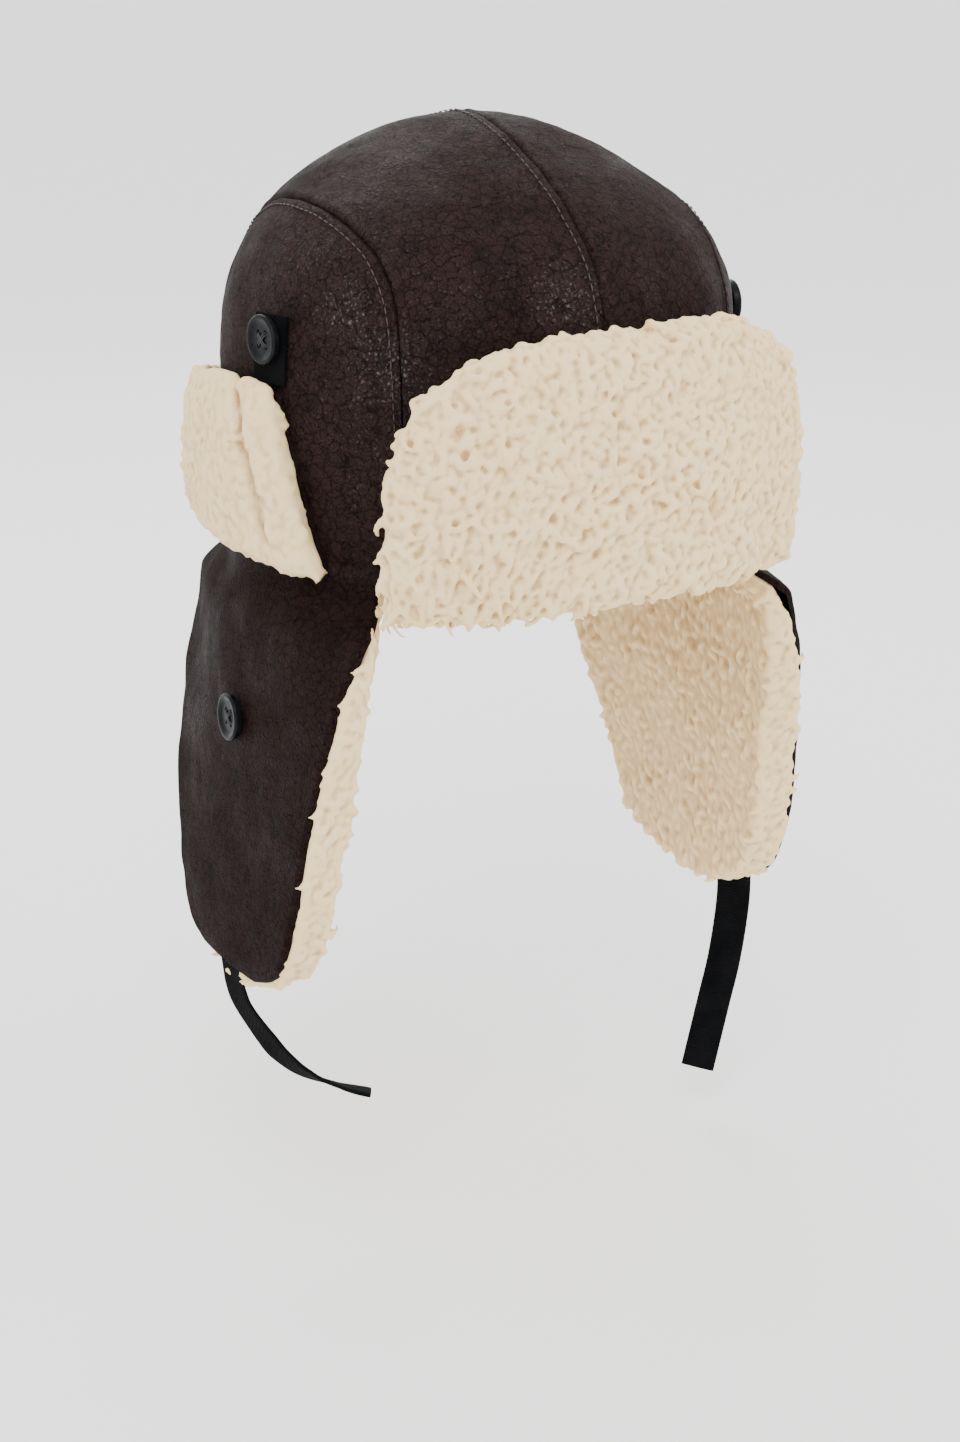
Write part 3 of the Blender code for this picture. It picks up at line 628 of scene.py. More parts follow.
def limited(value):
    """The value, held between 0 and 1."""
    return min(max(value, 0.0), 1.0)


def smoothed(block, rounds):
    """The mesh of a block after a number of rounds of smoothing."""
    smooth = block.modifiers.new("soft", "SMOOTH")
    smooth.factor = 0.5
    smooth.iterations = rounds
    ready = block.evaluated_get(bpy.context.evaluated_depsgraph_get())
    mesh = bpy.data.meshes.new_from_object(ready)
    bpy.data.objects.remove(block)
    return mesh


def even_mesh(name, mesh, voxel, rounds):
    """Even fine mesh over closed bodies, with its corners rounded."""
    block = placed(name + "_block", mesh)
    remesh = block.modifiers.new("even", "REMESH")
    remesh.mode = "VOXEL"
    remesh.voxel_size = voxel * 1.0
    return smoothed(block, rounds)


def pile_base(node, voxel):
    """Even fine mesh over a plain solid of the cap."""
    return even_mesh(node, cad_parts[node].data.copy(), voxel, 10)


def set_pile(mesh, heights):
    """Keep how high each point of a pile stands, lowered where shade is painted, for its finish."""
    attribute = mesh.attributes.new("pile", "FLOAT", "POINT")
    attribute.data.foreach_set("value", heights)
    mesh.shade_smooth()


def billow(point, size):
    """Rounded swellings with sharp creases between them, from 0 to 1."""
    return min(2.4 * abs(noise.noise(point / size)), 1.0) ** 0.7


def curled(mesh, comb, curl_height, strand_height, stretch=1.5, calm=None, shade=None):
    """Raise swellings on a pile's mesh, leaning the way that it is combed."""
    comb = Vector(comb).normalized()
    heights = [0.0] * len(mesh.vertices)
    moved = []
    for vertex in mesh.vertices:
        place = vertex.co
        even = place - comb * (1.0 - 1.0 / stretch) * place.dot(comb)
        bent = even + 0.0014 * noise.noise_vector(even / 0.0045)
        curl = billow(bent, PILE_CURL)
        strand = billow(bent + Vector((0.02, 0.03, 0.01)), PILE_STRAND)
        swell = 0.8 + 0.5 * noise.noise(place / 0.021)
        lift = curl_height * (curl - 0.6) + strand_height * (strand - 0.6)
        lean = comb * (0.8 * curl_height * curl * swell)
        lean -= vertex.normal * lean.dot(vertex.normal)
        wave = 0.0010 * noise.noise(place / 0.017 + Vector((3.0, 1.0, 2.0)))
        shift = vertex.normal * (lift * swell + wave) + lean
        if calm is not None:
            shift = calm(place, vertex.normal, shift)
        moved.append(place + shift)
        # Colour value: lighter on the swellings, with painted shade in the creases between them.
        heights[vertex.index] = 0.70 + 0.20 * curl + 0.10 * strand
        if shade is not None:
            heights[vertex.index] *= shade(place, vertex.normal)
    for vertex, point in zip(mesh.vertices, moved):
        vertex.co = point
    set_pile(mesh, heights)
    return mesh


def curl_path(start, normal, run, length, hook, rise):
    """A lock of pile that leaves the surface, arches over and tucks its tip in."""
    aside = normal.cross(run)
    path = []
    for i in range(len(LOCK_TAPER)):
        share = i / (len(LOCK_TAPER) - 1)
        ahead = run * (length * (share - 0.12 * math.sin(2.0 * math.pi * share)))
        swing = aside * (hook * length * (share * share - 0.3 * share))
        sink = 0.0008 + 0.0010 * share * share
        lift = normal * (rise * math.sin(math.pi * (0.05 + 0.95 * share)) - sink)
        path.append(start + ahead + swing + lift)
    return path


def grown_locks(base, comb, spacing, seed, keep, size=1.0, strands=None):
    """Locks of pile over a fleece: short, bent and tapered, most of them combed one
    way. The result is a list of points and a list of faces."""
    dice = random.Random(seed)
    comb = Vector(comb).normalized()
    taken = {}
    points = []
    faces = []
    order = list(range(len(base.polygons)))
    dice.shuffle(order)
    for index in order:
        face = base.polygons[index]
        start = face.center.copy()
        normal = face.normal.copy()
        chance = keep(start, normal)
        if chance <= 0.0 or dice.random() > chance:
            continue
        apart = spacing * (0.8 + 0.4 * dice.random())
        cell = tuple(int(math.floor(c / spacing)) for c in start)
        near = (
            taken.get((cell[0] + a, cell[1] + b, cell[2] + c), ())
            for a in (-1, 0, 1) for b in (-1, 0, 1) for c in (-1, 0, 1)
        )
        if any((start - other).length < apart for group in near for other in group):
            continue
        taken.setdefault(cell, []).append(start)
        run = comb - normal * comb.dot(normal)
        if run.length < 0.15:
            run = normal.orthogonal()
        run.normalize()
        straight = 0.0 if strands is None else strands(start)
        spread = dice.gauss(0.0, 0.9 - 0.6 * straight)
        run = run * math.cos(spread) + normal.cross(run) * math.sin(spread)
        grown = size * (0.6 + 0.8 * dice.random())
        hook = dice.uniform(-1.2, 1.2) * (1.0 - 0.7 * straight)
        length = grown * CURL_LENGTH * (1.0 + 0.9 * straight)
        path = curl_path(start, normal, run, length, hook, grown * CURL_RISE)
        radius = CURL_RADIUS * grown * dice.uniform(0.75, 1.2) * (1.0 - 0.25 * straight)
        add_tube(points, faces, path, [radius * taper for taper in LOCK_TAPER], 8)
    return points, faces


def melted(name, base, locks, voxel):
    """One soft surface over a pile and its locks, which keeps how high each point
    stands out of the pile, with painted shade in the hollows between the locks."""
    points, faces = locks
    first = len(base.vertices)
    corners = [vertex.co for vertex in base.vertices] + points
    loops = [tuple(face.vertices) for face in base.polygons]
    loops += [tuple(first + index for index in face) for face in faces]
    mesh = even_mesh(name, raw_mesh(name + "_rough", corners, loops), voxel, 1)
    levelled = smoothed(placed(name + "_flat", mesh), 16)
    proud = [(vertex.co - other.co).dot(vertex.normal)
             for vertex, other in zip(mesh.vertices, levelled.vertices)]
    tree = BVHTree.FromPolygons(corners[:first], loops[:len(base.polygons)])
    under = base.attributes["pile"].data
    heights = []
    for vertex, out in zip(mesh.vertices, proud):
        index = tree.find_nearest(vertex.co)[2]
        low = under[base.polygons[index].vertices[0]].value
        # Painted shade: the deeper a point sits between the locks, the darker.
        stands = limited(CREASE_LEVEL + out / CREASE_DEPTH)
        heights.append(low * (0.25 + 0.95 * stands))
    set_pile(mesh, heights)
    return mesh


def add_pile(name, node, mesh, finish):
    """Put a fleece on the cap for its plain solid."""
    piece = add_piece(name, mesh, finish, "fleece", node)


def dress(node, finish):
    """Give a plain solid of the cap its finish."""
    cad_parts[node].data.materials.clear()
    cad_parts[node].data.materials.append(finish)


cream_pile = curly_pile("cream_pile", (0.87, 0.665, 0.375), (0.36, 0.205, 0.092))
# A darker copy of the cream pile: painted shade for the lining inside the crown.
shaded_inner_pile = curly_pile("shaded_inner_pile", (0.74, 0.570, 0.340), (0.36, 0.220, 0.110))


lining_base = curled(pile_base("crown_lining", 0.0029), (0.0, 0.2, -1.0), 0.0009, 0.0003, 1.2)
add_pile("crown_lining_pile", "crown_lining", lining_base, shaded_inner_pile)


# Front flap. A band of the same fleece, stitched to the crown's edge, turned up over
# the forehead and backed with leather; its ends stand off the crown.
def flatter_left(place, normal, shift):
    """The pile lies flatter towards the wearer's left, where it was rubbed."""
    return shift * (1.0 - 0.4 * limited((place.x - 0.02) / 0.06))


def front_curls(place, normal):
    """Chance of a lock: the face, the top and the ends, fewer on the rubbed side."""
    if normal.y > 0.35:
        return 0.0
    return 1.0 - 0.85 * limited((place.x - 0.030) / 0.035)


def front_strands(place):
    """The locks hang longer and straighter low down on the wearer's right."""
    return limited((0.045 - place.z) / 0.030) * limited((-0.005 - place.x) / 0.025)


front_base = curled(pile_base("front_flap_fleece", 0.00110), (-0.15, 0.0, -1.0), 0.0014, 0.0007,
                    1.35, flatter_left)
front_locks = grown_locks(front_base, (-0.2, 0.0, -1.0), 0.0023, 5, front_curls, 1.0,
                          front_strands)
add_pile("front_flap_pile", "front_flap_fleece",
         melted("front_flap_pile", front_base, front_locks, 0.00093), cream_pile)
dress("front_flap_backing", crown_hide)


# Nape flap. The same fleece turned up round the back and sides, with a shorter, denser
# face and a soft roll along its front edge; leather backs it against the crown.
NAPE_FLAP_HEIGHT = 0.0745
NAPE_END_LOW = 60.0
NAPE_END_TOP = 75.0
NAPE_ROLL = 9.0
NAPE_CREASE_DEPTH = 0.0022


def turn_of(place):
    """Turn of a place round the crown from the front, in degrees, alike on both sides."""
    return math.degrees(math.atan2(abs(place.x), -place.y))


def nape_fold(place):
    """Nearness to the crease behind the roll of the flap's front edge, from 0 to 1."""
    end = NAPE_END_LOW + (NAPE_END_TOP - NAPE_END_LOW) * place.z / NAPE_FLAP_HEIGHT
    away = turn_of(place) - end - NAPE_ROLL - 1.5 * noise.noise(place / 0.012)
    return limited((place.z - 0.006) / 0.014) * math.exp(-(away / 1.6) ** 2)


def nape_press(place, normal, shift):
    """The pile parts along the crease."""
    return shift - normal * NAPE_CREASE_DEPTH * nape_fold(place)


def nape_shade(place, normal):
    """The crease lies in shade."""
    return 1.0 - 0.55 * nape_fold(place)


def nape_curls(place, normal):
    """Chance of a lock: a few along the lower edge and the front roll."""
    out = Vector((place.x, place.y, 0.0)).normalized()
    if normal.dot(out) < -0.35 or nape_fold(place) > 0.4:
        return 0.0
    return 0.7 if place.z < 0.016 or turn_of(place) < NAPE_END_TOP else 0.25


nape_base = curled(pile_base("nape_flap_fleece", 0.00125), (0.0, 0.1, -1.0), 0.0007, 0.0004, 1.25,
                   nape_press, nape_shade)
nape_locks = grown_locks(nape_base, (0.0, 0.2, -1.0), 0.0032, 6, nape_curls, 0.75)
add_pile("nape_flap_pile", "nape_flap_fleece",
         melted("nape_flap_pile", nape_base, nape_locks, 0.00116), cream_pile)
dress("nape_flap_backing", crown_hide)


# Ear flaps. Leather outside, cut smaller than the thick fleece inside, which shows as a
# light edge all round. The leather's edge is turned under and puckers where it is
# stitched; a narrow folded welt of leather covers its seam with the crown.
EAR_FLAP_DROP = 0.160
EAR_FLAP_SAG = 0.003
EAR_FLAP_REACH = 0.080
EAR_FRONT_TURN = 49.0
EAR_BACK_TURN = 132.0
EAR_BEND = 0.12
EAR_EDGE_ROLL = 0.0026
EAR_COLUMNS = 110
EAR_STEPS = 130
EAR_PUCKER = 0.0008
EAR_PUCKER_REACH = 0.006
EAR_FOLD = 0.0006
EAR_PILE_SUNK = 0.0016
WELT_HEIGHT = 0.0075
WELT_RAISE = 0.0016
WELT_BELOW = 0.0008
WELT_SUNK = 0.0006
WELT_PAST_ENDS = 3.0
WELT_ROWS = 14
WELT_COLUMNS = 160

# drop share, front and back edge as shares of the reach, and how far the front, the
# middle and the back stand out as shares of the crown's half width
EAR_ROWS = (
    (0.00, -1.060, 0.930, 0.870, 1.030, 0.850),
    (0.09, -1.050, 0.960, 0.920, 1.055, 0.885),
    (0.18, -1.010, 0.970, 0.980, 1.070, 0.910),
    (0.33, -0.970, 0.940, 1.050, 1.095, 0.970),
    (0.50, -0.890, 0.820, 1.085, 1.125, 1.050),
    (0.67, -0.815, 0.720, 1.115, 1.150, 1.110),
    (0.80, -0.750, 0.640, 1.130, 1.158, 1.130),
    (0.90, -0.660, 0.560, 1.140, 1.160, 1.140),
    (0.96, -0.540, 0.430, 1.145, 1.165, 1.155),
    (1.00, -0.330, 0.190, 1.155, 1.165, 1.160),
)


def smooth_row(rows, key):
    """Read a table by its first column as one smooth curve."""
    last = len(rows) - 1
    index = 0
    while index < last - 1 and key > rows[index + 1][0]:
        index += 1
    low, high = rows[index], rows[index + 1]
    span = high[0] - low[0]
    part = (key - low[0]) / span
    before = rows[max(index - 1, 0)]
    after = rows[min(index + 2, last)]
    values = []
    for c in range(1, len(low)):
        slope_in = (high[c] - before[c]) / (high[0] - before[0]) * span
        slope_out = (after[c] - low[c]) / (after[0] - low[0]) * span
        values.append(bridged(low[c], high[c], slope_in, slope_out, part))
    return values


def edge_of_crown(turn, offset, height):
    """Point level outwards from the crown's wall, near its lower edge."""
    angle = math.radians(turn)
    depth = CROWN_FRONT_DEPTH if math.cos(angle) >= 0.0 else CROWN_BACK_DEPTH
    radius = 1.0 + 0.004 * limited(height / 0.025)
    x = -CROWN_HALF_WIDTH * radius * math.sin(angle)
    y = -depth * radius * math.cos(angle)
    out = Vector((x / CROWN_HALF_WIDTH ** 2, y / depth ** 2, 0.0)).normalized()
    return Vector((x, y, height)) + out * offset


def ear_face(along, drop):
    """Outer face of the right ear flap, front edge to back edge and crown to foot."""
    front, back, out_front, out_middle, out_back = smooth_row(EAR_ROWS, drop)
    bow = (
        out_front * (1.0 - along) * (1.0 - 2.0 * along)
        + out_middle * 4.0 * along * (1.0 - along)
        + out_back * along * (2.0 * along - 1.0)
    )
    level = front + (back - front) * along
    hung = Vector((-CROWN_HALF_WIDTH * bow, EAR_FLAP_REACH * level, 0.0))
    sewn = edge_of_crown(EAR_FRONT_TURN + (EAR_BACK_TURN - EAR_FRONT_TURN) * along, 0.0, 0.0)
    free = limited(drop / EAR_BEND)
    point = sewn.lerp(hung, free * free * (3.0 - 2.0 * free))
    point.z = -EAR_FLAP_DROP * drop
    return point


def edge_shares(count):
    """Shares from 0 to 1, close together at both ends."""
    shares = []
    for i in range(count + 1):
        share = i / count
        shares.append(0.45 * share + 0.55 * (0.5 - 0.5 * math.cos(math.pi * share)))
    return shares


def ear_hide(side):
    """Grid of points of an ear flap's leather, with its edge turned under."""
    stretch = 1.0 - side * EAR_FLAP_SAG / EAR_FLAP_DROP
    grid = []
    for drop in edge_shares(EAR_STEPS):
        front, back = smooth_row(EAR_ROWS, drop)[:2]
        width = EAR_FLAP_REACH * (back - front)
        line = []
        for along in edge_shares(EAR_COLUMNS):
            point = ear_face(along, drop)
            normal = normal_of(ear_face, along, drop)
            far = min(along, 1.0 - along) * width
            far = min(far, (1.0 - drop) * EAR_FLAP_DROP)
            round_in = max(EAR_EDGE_ROLL - far, 0.0)
            lift = -(EAR_EDGE_ROLL - math.sqrt(max(EAR_EDGE_ROLL ** 2 - round_in ** 2, 0.0)))
            free = min(drop / 0.06, 1.0)
            lift += hide_relief(on_side(point, side) * 0.9) * free
            pull = noise.noise(Vector((drop / 0.055, side * 3.0, along * 1.5)))
            lift += EAR_PUCKER * math.exp(-far / EAR_PUCKER_REACH) * pull * free
            fold = noise.noise(Vector((drop / 0.16 + along * 2.2, along * 1.3, 4.0 + side)))
            lift += EAR_FOLD * fold * free
            point = point + normal * lift
            line.append(Vector((-side * point.x, point.y, stretch * point.z)))
        grid.append(line)
    return grid


def welt_grid(side):
    """A folded strip of leather along the seam of crown and ear flap."""
    first = EAR_FRONT_TURN - WELT_PAST_ENDS
    span = EAR_BACK_TURN - EAR_FRONT_TURN + 2.0 * WELT_PAST_ENDS
    grid = []
    for k in range(WELT_ROWS + 1):
        share = k / WELT_ROWS
        height = share * WELT_HEIGHT - WELT_BELOW
        offset = WELT_RAISE * math.sin(math.pi * share) ** 0.45 - WELT_SUNK
        line = []
        for j in range(WELT_COLUMNS + 1):
            point = edge_of_crown(first + span * j / WELT_COLUMNS, offset, height)
            point += Vector((0.0, 0.0, 0.0004 * noise.noise(point / 0.012)))
            point = point * (1.0 + 0.0025 * noise.noise(point / 0.009))
            line.append(on_side(point, side))
        grid.append(line)
    return grid


def under_hide(side):
    """Press the pile flat where the ear flap's leather lies on it."""
    def press(place, normal, shift):
        front, back = smooth_row(EAR_ROWS, limited(-place.z / EAR_FLAP_DROP))[:2]
        far = min(place.y - EAR_FLAP_REACH * front, EAR_FLAP_REACH * back - place.y)
        far = min(far, place.z + EAR_FLAP_DROP)
        covered = limited(far / 0.003) * limited((side * normal.x - 0.1) / 0.3)
        top = limited((place.z + 0.010) / 0.006)
        return shift * (1.0 - max(covered, top)) - normal * EAR_PILE_SUNK * covered
    return press


def ear_curls(side):
    """Chance of a lock: the inside and the edges of an ear flap, not under its leather."""
    def chance(place, normal):
        if place.z > -0.008 or side * normal.x > 0.35 or normal.y > 0.3:
            return 0.0
        return 0.85 if side * normal.x > -0.45 else 0.12
    return chance


def ear_inside_painted_shade(side):
    """Painted shade on the inside of an ear flap; its edges are not shaded."""
    def shade(place, normal):
        return 1.0 - 0.32 * limited((-side * normal.x - 0.35) / 0.4)
    return shade


# The grey of its grain is partly wear and partly painted highlight.
ear_leather = worn_leather(
    "ear_leather", (0.0105, 0.0060, 0.0055), (0.0160, 0.0078, 0.0069), (0.050, 0.042, 0.042), 0.52
)
for word, side in SIDES:
    name = "ear_flap_hide_" + word
    add_piece(name, sheet_mesh(name, ear_hide(side)), ear_leather, "crown_leather",
              "ear_flap_leather_" + word)
    name = "ear_welt_" + word
    add_piece(name, sheet_mesh(name, welt_grid(side)), crown_hide, "crown_leather")
    ear_base = curled(pile_base("ear_flap_fleece_" + word, 0.00130), (0.0, -0.15, -1.0), 0.0010,
                      0.0004, 1.25, under_hide(side), ear_inside_painted_shade(side))
    ear_locks = grown_locks(ear_base, (0.0, -0.15, -1.0), 0.0030, 7 + side, ear_curls(side), 0.85)
    name = "ear_flap_pile_" + word
    add_pile(name, "ear_flap_fleece_" + word, melted(name, ear_base, ear_locks, 0.00112),
             cream_pile)


# Straps. Flat black cotton webbing sewn under the foot of each ear flap; limp, so it
# hangs with a slight curl. Both ends are cut square and heat-sealed.
STRAP_WIDTH = 0.0145
STRAP_THICKNESS = 0.0018
STRAP_ROOT_ALONG = 0.46
STRAP_SEWN_IN = 0.005
STRAP_BEHIND_FLAP = 0.00165
STRAP_BELOW_FLAP = 0.0026
STRAP_CUP = 0.00035
STRAP_STEPS = 90
STRAP_SIDES = 28

# inward, back and down from the strap's root, and the turn of its width from fore and aft
STRAP_ROUTES = {
    "right": (
        (0.000, 0.000, 0.000, 8.0),
        (0.003, -0.001, -0.012, 12.0),
        (0.009, -0.005, -0.024, 18.0),
        (0.016, -0.010, -0.035, 24.0),
        (0.025, -0.015, -0.043, 26.0),
        (0.036, -0.021, -0.048, 24.0),
        (0.047, -0.027, -0.051, 20.0),
    ),
    "left": (
        (-0.007, 0.000, 0.000, -56.0),
        (-0.007, 0.000, -0.016, -56.0),
        (-0.006, 0.001, -0.032, -54.0),
        (-0.004, 0.002, -0.048, -52.0),
        (-0.001, 0.003, -0.063, -52.0),
        (0.003, 0.003, -0.079, -54.0),
        (0.008, 0.002, -0.096, -56.0),
    ),
}


def webbing(name):
    """Black woven tape: diagonal ribs across, fuzz along its edges."""
    material, shader, add, join = new_finish(name)
    ribs = add("ShaderNodeTexWave", Scale=420.0, Distortion=0.6, Detail=1.0)
    ribs.bands_direction = "DIAGONAL"
    fuzz = add("ShaderNodeTexNoise", Scale=1400.0, Detail=3.0, Roughness=0.7)
    cloud = add("ShaderNodeTexNoise", Scale=90.0, Detail=3.0)
    tint = ramp(add, join, cloud.outputs["Fac"], (
        (0.3, (0.0016, 0.0018, 0.0022)),
        (0.7, (0.0042, 0.0044, 0.0050)),
    ))
    join(tint, shader.inputs["Base Color"])
    add_bumps(add, join, shader, (ribs.outputs["Fac"], 0.5, 0.0004),
              (fuzz.outputs["Fac"], 0.4, 0.0004))
    fill(shader, Roughness=0.85, Specular_IOR_Level=0.04)
    return material


def strap_grid(side, route):
    """Rings of points along a strap, and its length."""
    root = ear_face(STRAP_ROOT_ALONG, 1.0)
    root -= normal_of(ear_face, STRAP_ROOT_ALONG, 1.0) * STRAP_BEHIND_FLAP
    root.z = side * EAR_FLAP_SAG - EAR_FLAP_DROP - STRAP_BELOW_FLAP
    rings = []
    length = 0.0
    last = None
    for i in range(STRAP_STEPS + 1):
        share = i / STRAP_STEPS
        inward, back, down, twist = curve_at(route, share)
        ahead = curve_at(route, min(share + 0.01, 1.0))
        behind = curve_at(route, max(share - 0.01, 0.0))
        run = Vector([a - b for a, b in zip(ahead[:3], behind[:3])]).normalized()
        if share < 0.03:
            run = Vector((0.0, 0.0, -1.0))
        angle = math.radians(twist)
        across = Vector((math.sin(angle), -math.cos(angle), 0.0))
        across = (across - run * across.dot(run)).normalized()
        flat = run.cross(across)
        sewn_in = STRAP_SEWN_IN * max(1.0 - share / 0.08, 0.0)
        centre = root + Vector((inward, back, down + sewn_in))
        if last is not None:
            length += (centre - last).length
        last = centre
        ring = []
        for k in range(STRAP_SIDES):
            turn = 2.0 * math.pi * k / STRAP_SIDES
            wide = math.copysign(abs(math.cos(turn)) ** 0.35, math.cos(turn))
            thick = math.copysign(abs(math.sin(turn)) ** 0.6, math.sin(turn))
            cup = STRAP_CUP * (wide * wide - 0.5) + 0.0002 * noise.noise(centre / 0.008)
            rag = 1.0 + 0.010 * noise.noise(Vector((share * 60.0, wide, side)))
            point = centre + across * (0.5 * wide * rag * STRAP_WIDTH)
            point = point + flat * (0.5 * thick * STRAP_THICKNESS + cup)
            ring.append(on_side(point, side))
        rings.append(ring)
    for end in (0, -1):
        middle = sum(rings[end], Vector()) / len(rings[end])
        cap = [[middle + (p - middle) * share for p in rings[end]] for share in (0.9, 0.5, 0.0)]
        rings = list(reversed(cap)) + rings if end == 0 else rings + cap
    return rings, length


black_webbing = webbing("black_webbing")
for word, side in SIDES:
    name = "chin_tape_" + word
    rings, length = strap_grid(side, STRAP_ROUTES[word])
    piece = add_piece(name, sheet_mesh(name, rings, closed=True), black_webbing, "webbing",
                      "chin_strap_" + word)
    dress("button_tab_" + word, black_webbing)


# Buttons. Black glossy coat buttons with a raised rim and a dished middle, four holes,
# sewn on with a cross of black thread.
BUTTON_DIAMETER = 0.0185
BUTTON_THICKNESS = 0.0034
BUTTON_RIM = 0.0022
BUTTON_DISH = 0.0011
BUTTON_HOLE = 0.0019
BUTTON_HOLE_SPREAD = 0.0048
BUTTON_SIDES = 72
HOLE_SIDES = 18
HOLE_SOFTENING = 0.00025
RIM_ROUND = 0.0010
THREAD_RADIUS = 0.00032
THREAD_ABOVE = 0.0005
THREAD_SINK = 0.0011


def moulded_gloss(name):
    """Black moulded plastic with a slight cloud and fine scratches."""
    material, shader, add, join = new_finish(name)
    cloud = add("ShaderNodeTexNoise", Scale=300.0, Detail=4.0)
    scratch = add("ShaderNodeTexNoise", Scale=1200.0, Detail=2.0)
    tint = ramp(add, join, cloud.outputs["Fac"], (
        (0.3, (0.0040, 0.0044, 0.0052)),
        (0.7, (0.0090, 0.0095, 0.0110)),
    ))
    join(tint, shader.inputs["Base Color"])
    rough = add("ShaderNodeMapRange", To_Min=0.20, To_Max=0.38)
    join(scratch.outputs["Fac"], rough.inputs["Value"])
    join(rough.outputs["Result"], shader.inputs["Roughness"])
    add_bumps(add, join, shader, (cloud.outputs["Fac"], 0.06, 0.0003))
    fill(shader, Specular_IOR_Level=0.06)
    return material


def flat_ring(body, middle, radius, height, sides):
    """Level ring of points."""
    ring = []
    for k in range(sides):
        angle = 2.0 * math.pi * (k + 0.5) / sides
        ring.append(body.verts.new((
            middle[0] + radius * math.cos(angle), middle[1] + radius * math.sin(angle), height)))
    return ring


def joined_rings(body, low, high):
    """Faces between two rings, and the edges of each."""
    count = len(low)
    for j in range(count):
        body.faces.new((low[j], low[(j + 1) % count], high[(j + 1) % count], high[j]))
    return [[body.edges.get((ring[j], ring[(j + 1) % count])) for j in range(count)]
            for ring in (low, high)]


def button_mesh(name, centre, outward):
    """Turned button with four holes."""
    radius = BUTTON_DIAMETER / 2.0
    dished = BUTTON_THICKNESS - BUTTON_DISH
    profile = [(0.80 * radius, 0.0), (0.93 * radius, 0.12 * BUTTON_THICKNESS)]
    for k in range(9):
        angle = math.radians(-40.0 + 130.0 * k / 8.0)
        profile.append((radius - 0.0009 + 0.0009 * math.cos(angle),
                        BUTTON_THICKNESS - RIM_ROUND + RIM_ROUND * math.sin(angle)))
    for k in range(1, 8):
        share = k / 7.0
        fall = share * share * (3.0 - 2.0 * share)
        profile.append((radius - 0.0011 - 1.35 * BUTTON_RIM * share,
                        BUTTON_THICKNESS - BUTTON_DISH * fall))
    body = bmesh.new()
    rings = [flat_ring(body, (0.0, 0.0), r, h, BUTTON_SIDES) for r, h in profile]
    back = []
    front = []
    for low, high in zip(rings, rings[1:]):
        low_edges, high_edges = joined_rings(body, low, high)
        if low is rings[0]:
            back.extend(low_edges)
        if high is rings[-1]:
            front.extend(high_edges)
    half = BUTTON_HOLE_SPREAD / 2.0
    for sx, sy in ((-1, -1), (1, -1), (1, 1), (-1, 1)):
        middle = (sx * half, sy * half)
        hole = BUTTON_HOLE / 2.0
        low = flat_ring(body, middle, hole, 0.0, HOLE_SIDES)
        neck = flat_ring(body, middle, hole, dished - 0.0003, HOLE_SIDES)
        mouth = flat_ring(body, middle, hole + HOLE_SOFTENING, dished, HOLE_SIDES)
        back.extend(joined_rings(body, low, neck)[0])
        front.extend(joined_rings(body, neck, mouth)[1])
    bmesh.ops.triangle_fill(body, edges=back, use_beauty=True)
    bmesh.ops.triangle_fill(body, edges=front, use_beauty=True)
    bmesh.ops.recalc_face_normals(body, faces=body.faces)
    up = Vector((0.0, 0.0, 1.0))
    across = up.cross(outward).normalized()
    up = outward.cross(across).normalized()
    for vertex in body.verts:
        x, y, z = vertex.co
        vertex.co = centre + across * x + up * y + outward * z
    mesh = bpy.data.meshes.new(name)
    body.to_mesh(mesh)
    body.free()
    mesh.shade_smooth()
    mesh.set_sharp_from_angle(angle=math.radians(38.0))
    return mesh, across, up


black_gloss = moulded_gloss("black_gloss")
black_thread = thread_finish("black_thread", (0.004, 0.004, 0.005))
half = BUTTON_HOLE_SPREAD / 2.0
thread_level = BUTTON_THICKNESS - BUTTON_DISH + THREAD_ABOVE
for place in ("crown_left", "crown_right", "ear_left", "ear_right"):
    node = "button_" + place
    low, high = (Vector(corner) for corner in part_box(node))
    middle = (low + high) / 2.0
    mesh_normal = Vector((0.0, 0.0, 0.0))
    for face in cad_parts[node].data.polygons:
        if face.normal.x * middle.x > 0.0 and face.area > 0.0:
            mesh_normal += face.normal * face.area
    outward = mesh_normal.normalized()
    centre = middle - outward * (BUTTON_THICKNESS / 2.0)
    name = "coat_button_" + place
    mesh, across, up = button_mesh(name, centre, outward)
    add_piece(name, mesh, black_gloss, "button", node)
    points = []
    faces = []
    for sign in (-1.0, 1.0):
        for strand in (-THREAD_RADIUS, THREAD_RADIUS):
            path = []
            for i in range(11):
                share = -1.0 + 0.2 * i
                rise = thread_level - THREAD_SINK * share ** 6
                path.append(centre + outward * rise + across * (share * half + strand * sign)
                            + up * (share * half * sign - strand))
            add_tube(points, faces, path, [THREAD_RADIUS] * len(path), 8)
    name = "button_thread_" + place
    add_piece(name, raw_mesh(name, points, faces), black_thread, "webbing")


# Stage. A pale seamless floor under the hanging straps, soft light from above and both
# sides, and the camera at the height and distance of a catalogue picture.
FLOOR_GAP = 0.020
AIM = Vector((0.0, 0.0, -0.080))
CAMERA_TURN = -28.0
CAMERA_RISE = 17.3
CAMERA_DISTANCE = 1.05
FRAME_HEIGHT = 1442.0
FOCAL_LENGTH = 2572.5
FLOOR_REACH = 60.0
AIR_STRENGTH = 2.0


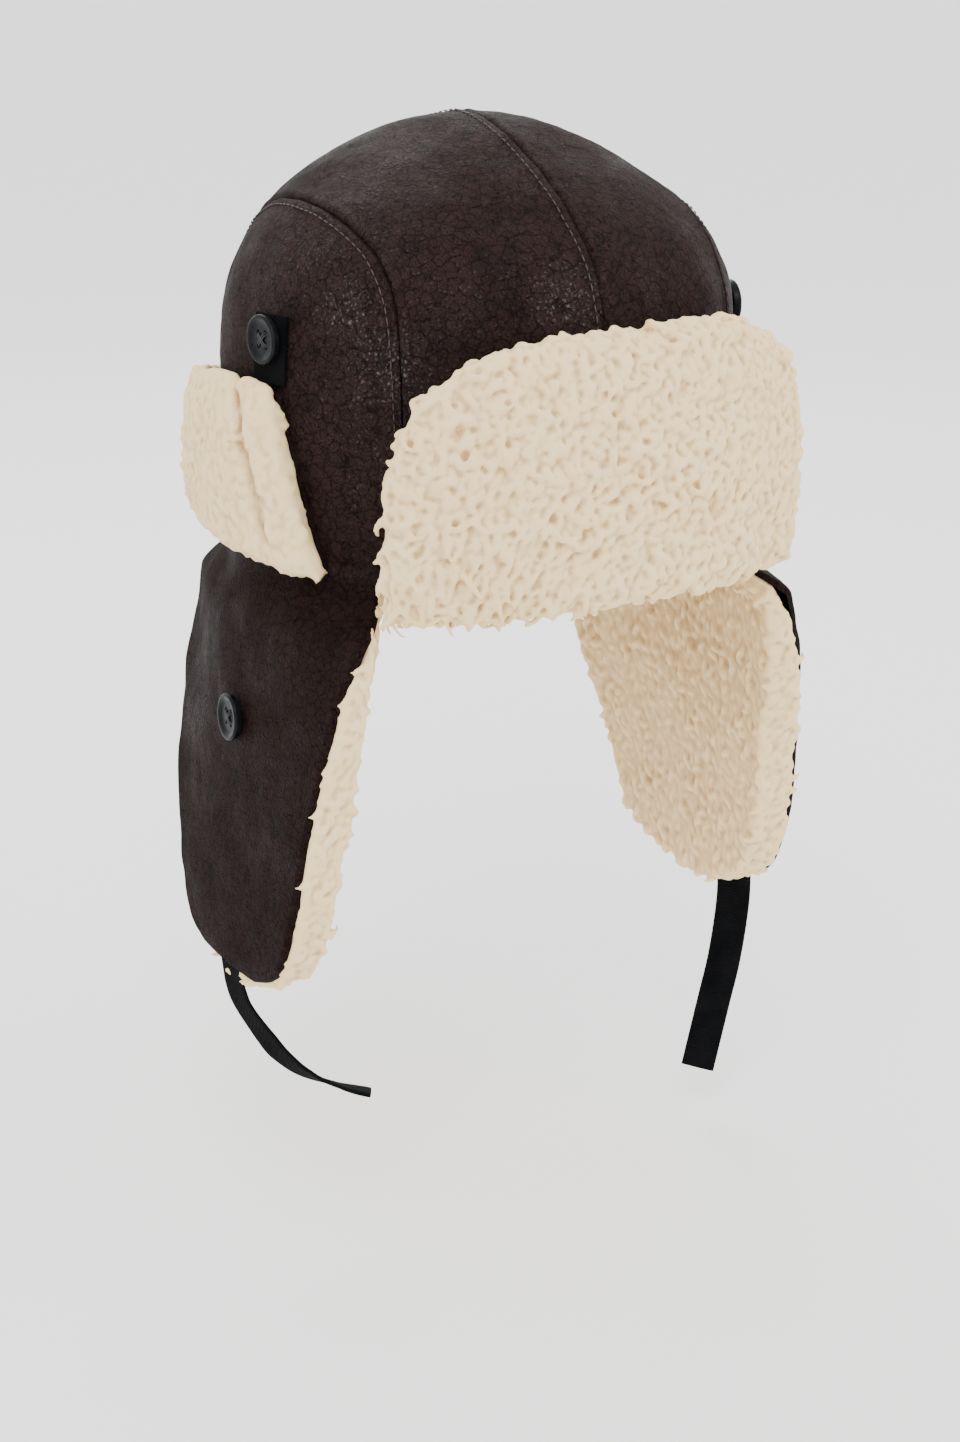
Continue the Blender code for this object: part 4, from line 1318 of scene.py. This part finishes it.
def plain_finish(name, colour, roughness):
    """Matt studio paper with a faint tooth."""
    material, shader, add, join = new_finish(name)
    tooth = add("ShaderNodeTexNoise", Scale=40.0, Detail=2.0)
    tint = ramp(add, join, tooth.outputs["Fac"], (
        (0.0, [0.99 * c for c in colour]),
        (1.0, colour),
    ))
    join(tint, shader.inputs["Base Color"])
    fill(shader, Roughness=roughness)
    return material


floor_level = cad_box[0][2] - FLOOR_GAP
corners = ((-1, -1), (1, -1), (1, 1), (-1, 1))
corners = [(x * FLOOR_REACH, y * FLOOR_REACH, floor_level) for x, y in corners]
floor = placed("studio_floor", raw_mesh("studio_floor", corners, [(0, 1, 2, 3)]))
floor.data.materials.append(plain_finish("studio_paper", (0.92, 0.92, 0.92), 0.9))

world = bpy.data.worlds.new("studio_air")
world.use_nodes = True
air = world.node_tree.nodes["Background"]
fill(air, Color=(1.0, 1.0, 1.0, 1.0), Strength=AIR_STRENGTH)
bpy.context.scene.world = world


def soft_light(name, place, size, power):
    """Square soft box that looks at the cap."""
    light = bpy.data.lights.new(name, "AREA")
    light.shape = "SQUARE"
    light.size = size
    light.energy = power
    lamp = placed(name, light)
    lamp.location = place
    lamp.rotation_euler = (AIM - Vector(place)).to_track_quat("-Z", "Y").to_euler()


soft_light("key_box", (-0.9, -1.3, 1.5), 1.1, 26.0)
soft_light("fill_box", (1.5, -1.0, 0.7), 1.2, 12.0)
soft_light("back_box", (0.3, 1.4, 1.3), 1.0, 14.0)

turn = math.radians(CAMERA_TURN)
rise = math.radians(CAMERA_RISE)
back = Vector((math.sin(turn) * math.cos(rise), -math.cos(turn) * math.cos(rise), math.sin(rise)))
lens = bpy.data.cameras.new("camera")
lens.sensor_fit = "VERTICAL"
lens.sensor_height = 36.0
lens.lens = FOCAL_LENGTH * lens.sensor_height / FRAME_HEIGHT
lens.clip_start = 0.05
camera = placed("camera", lens)
camera.location = AIM + back * CAMERA_DISTANCE
camera.rotation_euler = back.to_track_quat("Z", "Y").to_euler()
bpy.context.scene.camera = camera
